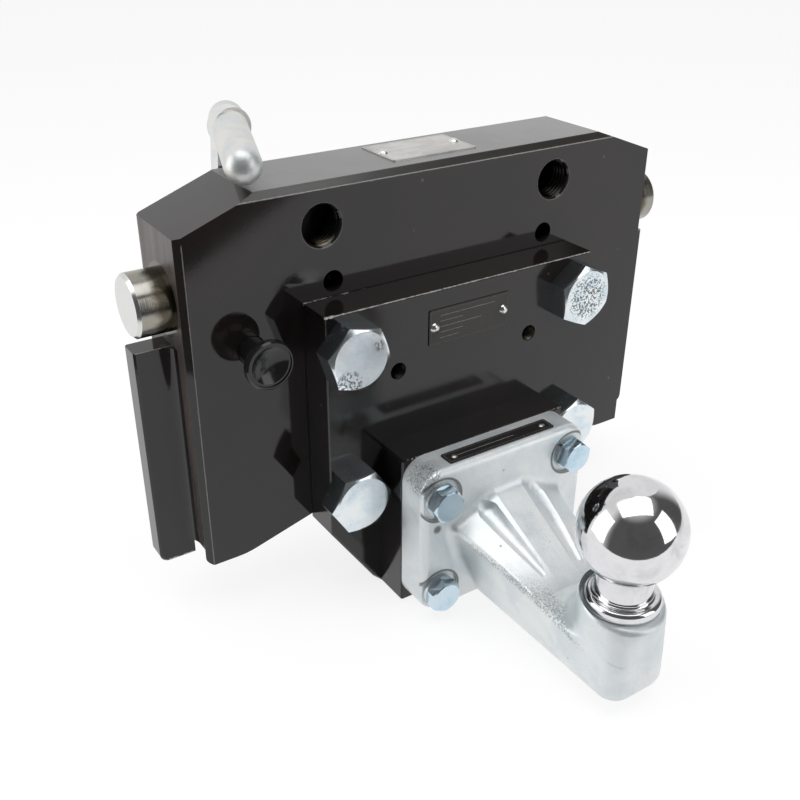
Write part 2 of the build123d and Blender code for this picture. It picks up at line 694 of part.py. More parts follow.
def lever_grip():
    """Round grip bar with domed ends, passed through the lever's eye."""
    axis, length = grip_axis()
    r = LEVER_GRIP_RADIUS
    slant = r * math.sin(math.radians(45))
    profile = make_face(
        Curve() + [
            Line((0, -r), (0, length + r)),
            ThreePointArc((0, length + r), (slant, length + slant), (r, length)),
            Line((r, length), (r, 0)),
            ThreePointArc((r, 0), (slant, -slant), (0, -r)),
        ]
    )
    bar = revolve(Plane.XZ * profile, axis=Axis.Z)
    return Location(Plane(origin=GRIP_FRONT, z_dir=axis)) * bar


def hub_washer():
    """Washer under the hub nut."""
    ring = Circle(HUB_WASHER_RADIUS) - Circle(HUB_STUD_RADIUS + SCREW_PLAY)
    return slab(Pos(0, PIN_Z) * ring, LEVER_BACK, LEVER_BACK + HUB_WASHER_THICKNESS)


def hub_nut():
    """Nut that holds the lever on its square."""
    seat = LEVER_BACK + HUB_WASHER_THICKNESS
    nut = Rot(0, 0, 180) * hex_head(HUB_NUT_FLATS, HUB_NUT_HEIGHT, 0)
    nut = Pos(0, seat, PIN_Z) * nut
    return nut - rod_y(HUB_STUD_RADIUS + SCREW_PLAY, 0, PIN_Z, seat - 1, seat + HUB_NUT_HEIGHT + 1)


def lever_stop_pin():
    """Dowel in the block that the lever's slot runs on."""
    start = BLOCK_DEPTH - STOP_PIN_DEPTH
    return turned_y(
        ((0, start), (STOP_PIN_RADIUS, start), (STOP_PIN_RADIUS, LEVER_BACK - 1),
         (STOP_PIN_RADIUS - 1, LEVER_BACK), (0, LEVER_BACK)),
        0, PIN_Z - STOP_PIN_REACH,
    )


# Release knob

def release_knob():
    """Dished mushroom knob with a flared neck that runs in the block's pocket."""
    back = KNOB_FACE + KNOB_RIM
    waist = KNOB_FACE + 14.0
    profile = make_face(
        Curve() + [
            Line((0, KNOB_FACE), (0, KNOB_NECK_END)),
            Line((0, KNOB_NECK_END), (KNOB_NECK_RADIUS, KNOB_NECK_END)),
            Line((KNOB_NECK_RADIUS, KNOB_NECK_END), (KNOB_NECK_RADIUS, waist)),
            ThreePointArc(
                (KNOB_NECK_RADIUS, waist),
                (KNOB_NECK_RADIUS + 1.1, (waist + back) / 2 - 1.2),
                (KNOB_RADIUS - 1, back),
            ),
            Line((KNOB_RADIUS - 1, back), (KNOB_RADIUS, back - 0.8)),
            Line((KNOB_RADIUS, back - 0.8), (KNOB_RADIUS, KNOB_FACE + 0.8)),
            Line((KNOB_RADIUS, KNOB_FACE + 0.8), (KNOB_RADIUS - 0.8, KNOB_FACE)),
            Line((KNOB_RADIUS - 0.8, KNOB_FACE), (0, KNOB_FACE)),
        ]
    )
    placed = Plane(origin=(KNOB_X, 0, KNOB_Z), x_dir=(1, 0, 0), z_dir=(0, 0, 1)) * profile
    knob = revolve(placed, axis=Axis((KNOB_X, 0, KNOB_Z), (0, 1, 0)))
    rim = KNOB_RADIUS - 1.5
    floor = KNOB_FACE + KNOB_RING_STEP
    ring = rod_y(rim, KNOB_X, KNOB_Z, KNOB_FACE - 1, floor)
    rim -= KNOB_RING_WIDTH
    dish_radius = (rim ** 2 + KNOB_DISH ** 2) / (2 * KNOB_DISH)
    dish = Pos(KNOB_X, floor + KNOB_DISH - dish_radius, KNOB_Z) * Sphere(dish_radius)
    socket = rod_y(
        PLUNGER_RADIUS + SCREW_PLAY, KNOB_X, KNOB_Z, plunger_tip() - SCREW_PLAY, KNOB_NECK_END + 1
    )
    return knob - ring - dish - socket


def plunger_tip():
    """Depth at which the plunger ends inside the knob."""
    return KNOB_FACE + KNOB_RING_STEP + KNOB_DISH + 3.0


def release_plunger():
    """Rod from the knob to the head that drops into the left pin's groove."""
    head = PLUNGER_HEAD_FRONT
    end = head + PLUNGER_HEAD_LENGTH
    return turned_y(
        ((0, plunger_tip()), (PLUNGER_RADIUS, plunger_tip()), (PLUNGER_RADIUS, head),
         (PLUNGER_HEAD_RADIUS, head), (PLUNGER_HEAD_RADIUS, end - 1),
         (PLUNGER_HEAD_RADIUS - 1, end), (0, end)),
        KNOB_X, KNOB_Z,
    )


def release_spring():
    """Spring that pushes the knob out of its pocket."""
    length = KNOB_POCKET_DEPTH - KNOB_NECK_END
    radius = KNOB_NECK_RADIUS - LOOSE_PLAY
    spring = coil(radius, RELEASE_WIRE_RADIUS, RELEASE_SPRING_TURNS, length)
    return Pos(KNOB_X, KNOB_NECK_END, KNOB_Z) * Rot(-90, 0, 0) * spring


def plunger_cap():
    """Plug that closes the plunger's bore at the back."""
    return rod_y(CAP_RADIUS, KNOB_X, KNOB_Z, BLOCK_DEPTH - CAP_THICKNESS, BLOCK_DEPTH)


# Intermediate plate and stand-off block

def intermediate_plate():
    """Plate bolted to the block, narrowed towards its foot."""
    w, foot, corner = PLATE_HALF_WIDTH, PLATE_FOOT_HALF_WIDTH, PLATE_FOOT_CORNER
    half = [
        (w, PLATE_TOP), (w, PLATE_TAPER_TOP), (foot, PLATE_BOTTOM + corner),
        (foot - corner, PLATE_BOTTOM),
    ]
    outline = polygon(*half, *[(-x, z) for x, z in reversed(half)])
    plate = slab(outline, PLATE_FRONT, 0)
    front = [e for e in plate.edges() if abs(e.center().Y - PLATE_FRONT) < 1e-3]
    plate = chamfer(front, PLATE_EDGE_CHAMFER)
    for side in (-1, 1):
        for z in (-PLATE_BOLT_Z, PLATE_BOLT_Z):
            plate -= rod_y(
                LARGE_CLEARANCE_RADIUS, side * PLATE_BOLT_X, z, PLATE_FRONT - 1, 1
            )
        plate -= rod_y(
            ACCESSORY_HOLE_RADIUS, side * FLANGE_BOLT_X, ACCESSORY_HOLE_Z,
            PLATE_FRONT - 1, PLATE_FRONT + ACCESSORY_HOLE_DEPTH,
        )
    for x, z in tag_rivet_points(FRONT_TAG_CENTRE, FRONT_RIVET_SPACING):
        plate -= rod_y(
            RIVET_SHANK_RADIUS + SCREW_PLAY, x, z, PLATE_FRONT - 1, PLATE_FRONT + RIVET_DEPTH + 1
        )
    return plate


def flange_bolt_points():
    """Centres of the four flange bolts in X and Z."""
    return [
        (side * FLANGE_BOLT_X, FLANGE_BOLT_MIDDLE_Z + level * FLANGE_BOLT_HALF_Z)
        for level in (1, -1) for side in (-1, 1)
    ]


def stand_off_block():
    """Block welded on the plate, tapped for the flange bolts."""
    w = STAND_HALF_WIDTH
    outline = polygon((-w, PLATE_BOTTOM), (w, PLATE_BOTTOM), (w, STAND_TOP), (-w, STAND_TOP))
    block = slab(outline, STAND_FRONT, PLATE_FRONT)
    edges = [
        e for e in block.edges()
        if abs(e.center().Y - STAND_FRONT) < 1e-3 or abs(abs(e.center().X) - w) < 1e-3
    ]
    edges = [e for e in edges if abs(e.center().Y - PLATE_FRONT) > 1e-3]
    block = chamfer(edges, STAND_EDGE_CHAMFER)
    for x, z in flange_bolt_points():
        block -= rod_y(
            SMALL_THREAD_RADIUS + SCREW_PLAY, x, z, STAND_FRONT - 1, SMALL_HOLE_END
        )
    return block


# Bolts and washers

def plate_bolts():
    """The four bolts through the intermediate plate."""
    places = [(-1, 1), (1, 1), (-1, -1), (1, -1)]
    bolts = []
    for (side, level), turn in zip(places, LARGE_BOLT_TURNS):
        bolt = hex_bolt(
            LARGE_HEAD_FLATS, LARGE_HEAD_HEIGHT, LARGE_THREAD_RADIUS, LARGE_BOLT_LENGTH, turn
        )
        bolts.append(Pos(side * PLATE_BOLT_X, PLATE_FRONT, level * PLATE_BOLT_Z) * bolt)
    return Compound(children=bolts)


def flange_bolts():
    """The four bolts through the cast flange."""
    seat = SPOT_FACE - SPRING_WASHER_THICKNESS
    bolts = []
    for i, (x, z) in enumerate(flange_bolt_points()):
        bolt = hex_bolt(
            SMALL_HEAD_FLATS, SMALL_HEAD_HEIGHT, SMALL_THREAD_RADIUS, SMALL_BOLT_LENGTH, 17.0 * i
        )
        bolts.append(Pos(x, seat, z) * bolt)
    return Compound(children=bolts)


def flange_spring_washers():
    """Split spring washers under the flange bolts."""
    inner = SMALL_THREAD_RADIUS + SCREW_PLAY
    ring = Circle(SPRING_WASHER_RADIUS) - Circle(inner)
    ring -= Pos(SPRING_WASHER_RADIUS / 2, 0) * Rectangle(
        SPRING_WASHER_RADIUS * 1.2, SPRING_WASHER_SPLIT)
    washers = []
    for i, (x, z) in enumerate(flange_bolt_points()):
        section = Pos(x, z) * Rot(0, 0, 60.0 + 75.0 * i) * ring
        washers.append(slab(section, SPOT_FACE - SPRING_WASHER_THICKNESS, SPOT_FACE))
    return Compound(children=washers)


# Ball bracket and ball

def arm_slice(y, points):
    """Cross-section of the arm at depth y from the points of its right half."""
    return front_plane(y) * polygon(*points, *[(-x, z) for x, z in reversed(points)])


def flank_body():
    """Body between the arm's two flared flanks and its flat underside."""
    flare = (ARM_ROOT_HALF_WIDTH - NOSE_RADIUS) / (ARM_ROOT_SIDE_Z - ARM_BOTTOM)
    wide = NOSE_RADIUS + flare * (NOSE_TOP_BACK_Z + 20 - ARM_BOTTOM)
    high = NOSE_TOP_BACK_Z + 20
    return loft([
        arm_slice(ARM_ROOT_Y, [(NOSE_RADIUS, ARM_BOTTOM), (wide, high)]),
        arm_slice(BALL_Y, [(NOSE_RADIUS, ARM_BOTTOM), (NOSE_RADIUS, high)]),
    ], ruled=True)


def ridge_roof():
    """Body under the arm's roof, from the ridge at the flange to the flat valley."""
    side = 2 * ARM_ROOT_HALF_WIDTH
    pitch = (ARM_RIDGE_ROOT_Z - ARM_ROOT_SIDE_Z) / (ARM_ROOT_HALF_WIDTH - RIDGE_ROOT_HALF_WIDTH)
    eave = ARM_RIDGE_ROOT_Z - pitch * (side - RIDGE_ROOT_HALF_WIDTH)
    low = ARM_BOTTOM - 15
    return loft([
        arm_slice(ARM_ROOT_Y, [
            (RIDGE_ROOT_HALF_WIDTH, ARM_RIDGE_ROOT_Z), (side, eave), (side, low)]),
        arm_slice(VALLEY_Y, [(RIDGE_END_HALF_WIDTH, VALLEY_Z), (side, VALLEY_Z), (side, low)]),
    ], ruled=True)


def nose_boss():
    """Round boss under the ball, its top sloping down towards the front."""
    low = ARM_BOTTOM - 5
    boss = Pos(0, BALL_Y, low) * Cylinder(
        NOSE_RADIUS, NOSE_TOP_BACK_Z - low, align=(Align.CENTER, Align.CENTER, Align.MIN))
    back = BALL_Y + NOSE_RADIUS + 1
    front = BALL_Y - NOSE_RADIUS - 1
    above = Plane.YZ * polygon(
        (back, NOSE_TOP_BACK_Z), (front, NOSE_TOP_FRONT_Z),
        (front, NOSE_TOP_BACK_Z + 5), (back, NOSE_TOP_BACK_Z + 5),
    )
    boss -= extrude(above, amount=2 * NOSE_RADIUS, both=True)
    rim = [
        e for e in boss.edges()
        if e.geom_type != GeomType.LINE and e.center().Z > NOSE_TOP_FRONT_Z - 1
    ]
    return fillet(rim, NOSE_EDGE_RADIUS)


def valley_and_nose():
    """Sloping floor in front of the valley, with the boss standing on it."""
    slope = (NOSE_SHOULDER_Z - VALLEY_Z) / (BALL_Y - VALLEY_Y)
    front = BALL_Y - 3 * NOSE_RADIUS
    low = ARM_BOTTOM - 15
    floor = Plane.YZ * polygon(
        (VALLEY_Y, low), (VALLEY_Y, VALLEY_Z),
        (front, VALLEY_Z + slope * (front - VALLEY_Y)), (front, low),
    )
    body = extrude(floor, amount=3 * NOSE_RADIUS, both=True) + nose_boss()
    foot = [
        e for e in body.edges().filter_by(GeomType.ELLIPSE)
        if e.center().Z < (NOSE_TOP_BACK_Z + ARM_BOTTOM) / 2 + 5
    ]
    return fillet(foot, NOSE_FOOT_RADIUS)


def shoulder_edges(shape):
    """Edges between the arm's flanks and its roof."""
    return [
        e for e in shape.edges()
        if 10 < e.length < 90 and abs((e % 0.5).Y) > 0.6
        and e.center().Z > ARM_BOTTOM + 8 and e.center().Y > BALL_Y
        and abs(e.center().X) > 2 * RIDGE_END_HALF_WIDTH
    ]


def arm_and_nose():
    """Arm from the flange to the round nose, with its rounded edges."""
    round_end = Pos(0, BALL_Y, ARM_BOTTOM) * Cylinder(
        NOSE_RADIUS + SCREW_PLAY, NOSE_TOP_BACK_Z + 20 - ARM_BOTTOM,
        align=(Align.CENTER, Align.CENTER, Align.MIN))
    arm = (flank_body() + round_end) & (ridge_roof() + valley_and_nose())
    arm = fillet(shoulder_edges(arm), ARM_EDGE_RADIUS)
    underside = [
        e for e in arm.edges()
        if abs(e.center().Z - ARM_BOTTOM) < 1e-3 and abs(e.center().Y - ARM_ROOT_Y) > 1
        and e.length > 3
    ]
    return fillet(underside, ARM_FOOT_RADIUS)


def groove_tool(side):
    """Tapered cutter with a ball end for the groove beside the central rib."""
    start = Vector(
        side * GROOVE_ROOT[0], FLANGE_FRONT - GROOVE_ROOT_RADIUS - LOOSE_PLAY, GROOVE_ROOT[1])
    end = Vector(side * GROOVE_END[0], GROOVE_END_Y, GROOVE_END[1])
    along = (end - start).normalized()
    wide = Plane(origin=start, z_dir=along) * Circle(GROOVE_ROOT_RADIUS)
    narrow = Plane(origin=end, z_dir=along) * Circle(GROOVE_END_RADIUS)
    return loft([wide, narrow]) + Pos(*start) * Sphere(GROOVE_ROOT_RADIUS)


def flange_solid():
    """Flange with rounded corners and front edge."""
    width = 2 * FLANGE_HALF_WIDTH
    height = FLANGE_TOP - FLANGE_BOTTOM
    outline = Pos(0, (FLANGE_TOP + FLANGE_BOTTOM) / 2) * RectangleRounded(
        width, height, FLANGE_CORNER_RADIUS)
    flange = slab(outline, FLANGE_FRONT, STAND_FRONT)
    front = [e for e in flange.edges() if abs(e.center().Y - FLANGE_FRONT) < 1e-3]
    return fillet(front, FLANGE_EDGE_RADIUS)


def ball_bracket():
    """Cast bracket: flange, ribbed arm and nose boss in one piece."""
    bracket = flange_solid() + arm_and_nose()
    root = [
        e for e in bracket.edges()
        if abs(e.center().Y - FLANGE_FRONT) < 1e-3
        and abs(e.center().X) < ARM_ROOT_HALF_WIDTH + 3
        and ARM_BOTTOM - 1 < e.center().Z < ARM_RIDGE_ROOT_Z + 1
    ]
    bracket = fillet(root, ARM_ROOT_RADIUS)
    bracket = bracket - groove_tool(1) - groove_tool(-1)
    seat = Pos(0, BALL_Y, COLLAR_SEAT) * Cylinder(
        SEAT_RADIUS, BALL_RADIUS, align=(Align.CENTER, Align.CENTER, Align.MIN))
    bore = Pos(0, BALL_Y, ARM_BOTTOM - 1) * Cylinder(
        SHANK_RADIUS + SCREW_PLAY, COLLAR_SEAT - ARM_BOTTOM + 2,
        align=(Align.CENTER, Align.CENTER, Align.MIN))
    bracket = bracket - seat - bore
    for x, z in flange_bolt_points():
        bracket -= rod_y(SMALL_CLEARANCE_RADIUS, x, z, FLANGE_FRONT - 1, STAND_FRONT + 1)
        bracket -= rod_y(SPOT_FACE_RADIUS, x, z, FLANGE_FRONT - 8, SPOT_FACE)
    for x, y in tag_rivet_points((0.0, FLANGE_TAG_Y), FLANGE_RIVET_SPACING):
        hole = Cylinder(
            RIVET_SHANK_RADIUS + SCREW_PLAY, RIVET_DEPTH + 1,
            align=(Align.CENTER, Align.CENTER, Align.MAX),
        )
        bracket -= Pos(x, y, FLANGE_TOP) * hole
    return bracket


def quarter(start, end, centre):
    """Quarter circle arc between two points about a centre."""
    radius = math.dist(start, centre)
    bulge = ((start[0] + end[0]) / 2 - centre[0], (start[1] + end[1]) / 2 - centre[1])
    size = math.hypot(*bulge)
    middle = (centre[0] + bulge[0] * radius / size, centre[1] + bulge[1] * radius / size)
    return ThreePointArc(start, middle, end)


def tow_ball():
    """Ball with flat top, neck, collar and the shank held in the nose."""
    flat_z = BALL_Z + math.sqrt(BALL_RADIUS ** 2 - BALL_FLAT_RADIUS ** 2)
    neck_z = BALL_Z - math.sqrt(BALL_RADIUS ** 2 - NECK_RADIUS ** 2)
    neck_foot = (NECK_RADIUS + NECK_FILLET, COLLAR_TOP)
    neck_end = (NECK_RADIUS, COLLAR_TOP + NECK_FILLET)
    rim = COLLAR_RADIUS - COLLAR_ROUND
    upper = COLLAR_TOP - COLLAR_ROUND
    lower = COLLAR_SEAT + COLLAR_ROUND
    tip = ARM_BOTTOM + SHANK_TIP_CHAMFER
    profile = make_face(
        Curve() + [
            Line((0, flat_z), (BALL_FLAT_RADIUS, flat_z)),
            ThreePointArc(
                (BALL_FLAT_RADIUS, flat_z), (BALL_RADIUS, BALL_Z), (NECK_RADIUS, neck_z)),
            Line((NECK_RADIUS, neck_z), neck_end),
            quarter(neck_end, neck_foot, (neck_foot[0], neck_end[1])),
            Line(neck_foot, (rim, COLLAR_TOP)),
            quarter((rim, COLLAR_TOP), (COLLAR_RADIUS, upper), (rim, upper)),
            Line((COLLAR_RADIUS, upper), (COLLAR_RADIUS, lower)),
            quarter((COLLAR_RADIUS, lower), (rim, COLLAR_SEAT), (rim, lower)),
            Line((rim, COLLAR_SEAT), (SHANK_RADIUS, COLLAR_SEAT)),
            Line((SHANK_RADIUS, COLLAR_SEAT), (SHANK_RADIUS, tip)),
            Line((SHANK_RADIUS, tip), (SHANK_RADIUS - SHANK_TIP_CHAMFER, ARM_BOTTOM)),
            Line((SHANK_RADIUS - SHANK_TIP_CHAMFER, ARM_BOTTOM), (0, ARM_BOTTOM)),
            Line((0, ARM_BOTTOM), (0, flat_z)),
        ]
    )
    return Pos(0, BALL_Y, 0) * revolve(Plane.XZ * profile, axis=Axis.Z)


# Plates and rivets

def tag_rivet_points(centre, spacing):
    """Two rivet places, left and right of a plate's centre."""
    return [(centre[0] - spacing / 2, centre[1]), (centre[0] + spacing / 2, centre[1])]


def rivet(head_radius, head_height):
    """Domed rivet standing along +Z, with its seat at z = 0."""
    sphere = (head_radius ** 2 + head_height ** 2) / (2 * head_height)
    half = math.asin(head_radius / sphere) / 2
    bulge = (sphere * math.sin(half), head_height - sphere * (1 - math.cos(half)))
    shank = RIVET_SHANK_RADIUS
    profile = make_face(
        Curve() + [
            Line((0, head_height), (0, -RIVET_DEPTH)),
            Line((0, -RIVET_DEPTH), (shank, -RIVET_DEPTH)),
            Line((shank, -RIVET_DEPTH), (shank, 0)),
            Line((shank, 0), (head_radius, 0)),
            ThreePointArc((head_radius, 0), bulge, (0, head_height)),
        ]
    )
    return revolve(Plane.XZ * profile, axis=Axis.Z)


def flat_tag(size, centre, spacing):
    """Thin plate lying on z = 0, with its two rivet holes."""
    tag = Pos(*centre) * RectangleRounded(size[0], size[1], 1.2)
    for point in tag_rivet_points(centre, spacing):
        tag -= Pos(*point) * Circle(RIVET_SHANK_RADIUS + SCREW_PLAY)
    return extrude(tag, amount=TAG_THICKNESS)


def flat_rivets(centre, spacing, head_radius, head_height):
    """Two rivets in a plate lying on z = 0."""
    one = rivet(head_radius, head_height)
    return [Pos(x, y, TAG_THICKNESS) * one for x, y in tag_rivet_points(centre, spacing)]


def top_tag():
    """Plate on the block's top."""
    return Pos(0, 0, BLOCK_TOP) * flat_tag(TOP_TAG_SIZE, TOP_TAG_CENTRE, TOP_RIVET_SPACING)


def top_tag_rivets():
    """Rivets of the plate on the block's top."""
    rivets = flat_rivets(TOP_TAG_CENTRE, TOP_RIVET_SPACING, RIVET_HEAD_RADIUS, RIVET_HEAD_HEIGHT)
    return Compound(children=[Pos(0, 0, BLOCK_TOP) * r for r in rivets])


def to_plate_front():
    """Placement that stands a flat plate on the intermediate plate's front."""
    return Location(Plane(origin=(0, PLATE_FRONT, 0), x_dir=(1, 0, 0), z_dir=(0, -1, 0)))


def front_tag():
    """Plate on the intermediate plate's front."""
    return to_plate_front() * flat_tag(FRONT_TAG_SIZE, FRONT_TAG_CENTRE, FRONT_RIVET_SPACING)


def front_tag_rivets():
    """Rivets of the plate on the intermediate plate."""
    rivets = flat_rivets(
        FRONT_TAG_CENTRE, FRONT_RIVET_SPACING, RIVET_HEAD_RADIUS, RIVET_HEAD_HEIGHT)
    return Compound(children=[to_plate_front() * r for r in rivets])


def flange_tag():
    """Narrow plate on the flange's top."""
    centre = (0.0, FLANGE_TAG_Y)
    return Pos(0, 0, FLANGE_TOP) * flat_tag(FLANGE_TAG_SIZE, centre, FLANGE_RIVET_SPACING)


def flange_tag_rivets():
    """Rivets of the plate on the flange."""
    centre = (0.0, FLANGE_TAG_Y)
    rivets = flat_rivets(
        centre, FLANGE_RIVET_SPACING, SMALL_RIVET_HEAD_RADIUS, SMALL_RIVET_HEAD_HEIGHT
    )
    return Compound(children=[Pos(0, 0, FLANGE_TOP) * r for r in rivets])


def build_all():
    """Every piece by its node name, about the middle of the block's front face."""
    left_bar = left_guide_bar()
    return {
        "carriage_body": carriage_body(),
        "left_guide_bar": left_bar,
        "right_guide_bar": mirrored(left_bar),
        "left_locking_pin": left_locking_pin(),
        "right_locking_pin": right_locking_pin(),
        "left_return_spring": return_spring("left"),
        "right_return_spring": return_spring("right"),
        "pinion_shaft": pinion_shaft(),
        "shaft_bush": shaft_bush(),
        "lever_plate": lever_plate(),
        "lever_grip": lever_grip(),
        "hub_washer": hub_washer(),
        "hub_nut": hub_nut(),
        "lever_stop_pin": lever_stop_pin(),
        "release_knob": release_knob(),
        "release_plunger": release_plunger(),
        "release_spring": release_spring(),
        "plunger_cap": plunger_cap(),
        "intermediate_plate": intermediate_plate(),
        "stand_off_block": stand_off_block(),
        "plate_bolts": plate_bolts(),
        "ball_bracket": ball_bracket(),
        "tow_ball": tow_ball(),
        "flange_bolts": flange_bolts(),
        "flange_spring_washers": flange_spring_washers(),
        "top_tag": top_tag(),
        "top_tag_rivets": top_tag_rivets(),
        "front_tag": front_tag(),
        "front_tag_rivets": front_tag_rivets(),
        "flange_tag": flange_tag(),
        "flange_tag_rivets": flange_tag_rivets(),
    }


def main():
    """Write one STEP file for each piece."""
    os.makedirs("parts", exist_ok=True)
    for name, piece in build_all().items():
        export_step(TO_BALL_CENTRE * piece, f"parts/{name}.step")


if __name__ == "__main__":
    main()
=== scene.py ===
"""Looks of a height-adjustable tow ball hitch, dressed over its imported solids.

Everything is in metres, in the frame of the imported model: the origin is the centre of the
tow ball, X runs to the right seen from the ball side, Y towards the tractor and Z up.
"""

import json
import logging
import math
from collections.abc import Callable
from dataclasses import dataclass
from enum import Enum
from functools import partial, reduce

import bmesh
import bpy
from mathutils import Matrix, Vector

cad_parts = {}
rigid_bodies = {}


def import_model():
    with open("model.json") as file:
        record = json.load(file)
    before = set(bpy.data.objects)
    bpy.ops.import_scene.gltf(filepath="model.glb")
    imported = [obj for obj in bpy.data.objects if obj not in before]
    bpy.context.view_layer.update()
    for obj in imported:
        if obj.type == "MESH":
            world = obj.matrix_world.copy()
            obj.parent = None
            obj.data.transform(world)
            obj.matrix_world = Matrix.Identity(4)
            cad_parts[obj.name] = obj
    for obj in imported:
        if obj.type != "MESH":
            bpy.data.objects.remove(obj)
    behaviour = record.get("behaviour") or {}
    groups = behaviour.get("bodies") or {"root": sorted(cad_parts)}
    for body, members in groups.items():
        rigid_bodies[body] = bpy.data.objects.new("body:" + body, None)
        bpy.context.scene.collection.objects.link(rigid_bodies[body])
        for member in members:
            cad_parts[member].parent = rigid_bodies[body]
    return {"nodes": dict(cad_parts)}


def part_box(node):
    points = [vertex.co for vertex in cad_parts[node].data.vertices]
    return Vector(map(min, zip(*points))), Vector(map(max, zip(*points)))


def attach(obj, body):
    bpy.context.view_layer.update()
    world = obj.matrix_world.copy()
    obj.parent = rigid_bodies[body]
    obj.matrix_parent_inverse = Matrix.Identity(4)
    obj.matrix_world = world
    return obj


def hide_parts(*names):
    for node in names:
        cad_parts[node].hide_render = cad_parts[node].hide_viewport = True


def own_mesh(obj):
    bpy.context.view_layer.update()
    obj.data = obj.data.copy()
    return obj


for leftover in list(bpy.data.objects):
    bpy.data.objects.remove(leftover)
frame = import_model()

LOG = logging.getLogger("hitch")
MM = 0.001
Colour = tuple[float, float, float, float]
Point = tuple[float, float, float]
Socket = bpy.types.NodeSocket
WHITE: Colour = (1.0, 1.0, 1.0, 1.0)
# Near-black for the dark joint lines, and for the painted shade inside bores.
JOINT_BLACK_AND_HOLE_SHADE: Colour = (0.003, 0.003, 0.003, 1.0)
WELD = 0.001 * MM

# Faces of the block and of the plate, and the height of the locking pins
BLOCK_FRONT = 145.2 * MM
BLOCK_SIDE = 141.5 * MM
PLATE_TOP = 74.9 * MM
PLATE_SIDE = 81.7 * MM
PIN_HEIGHT = 82.5 * MM


def shaded(colour: Colour, share: float) -> Colour:
    """Multiplies a colour's red, green and blue."""
    return (*(channel * share for channel in colour[:3]), 1.0)


class Axis(Enum):
    """The three directions of the shared frame."""

    X = 0
    Y = 1
    Z = 2


# Node trees

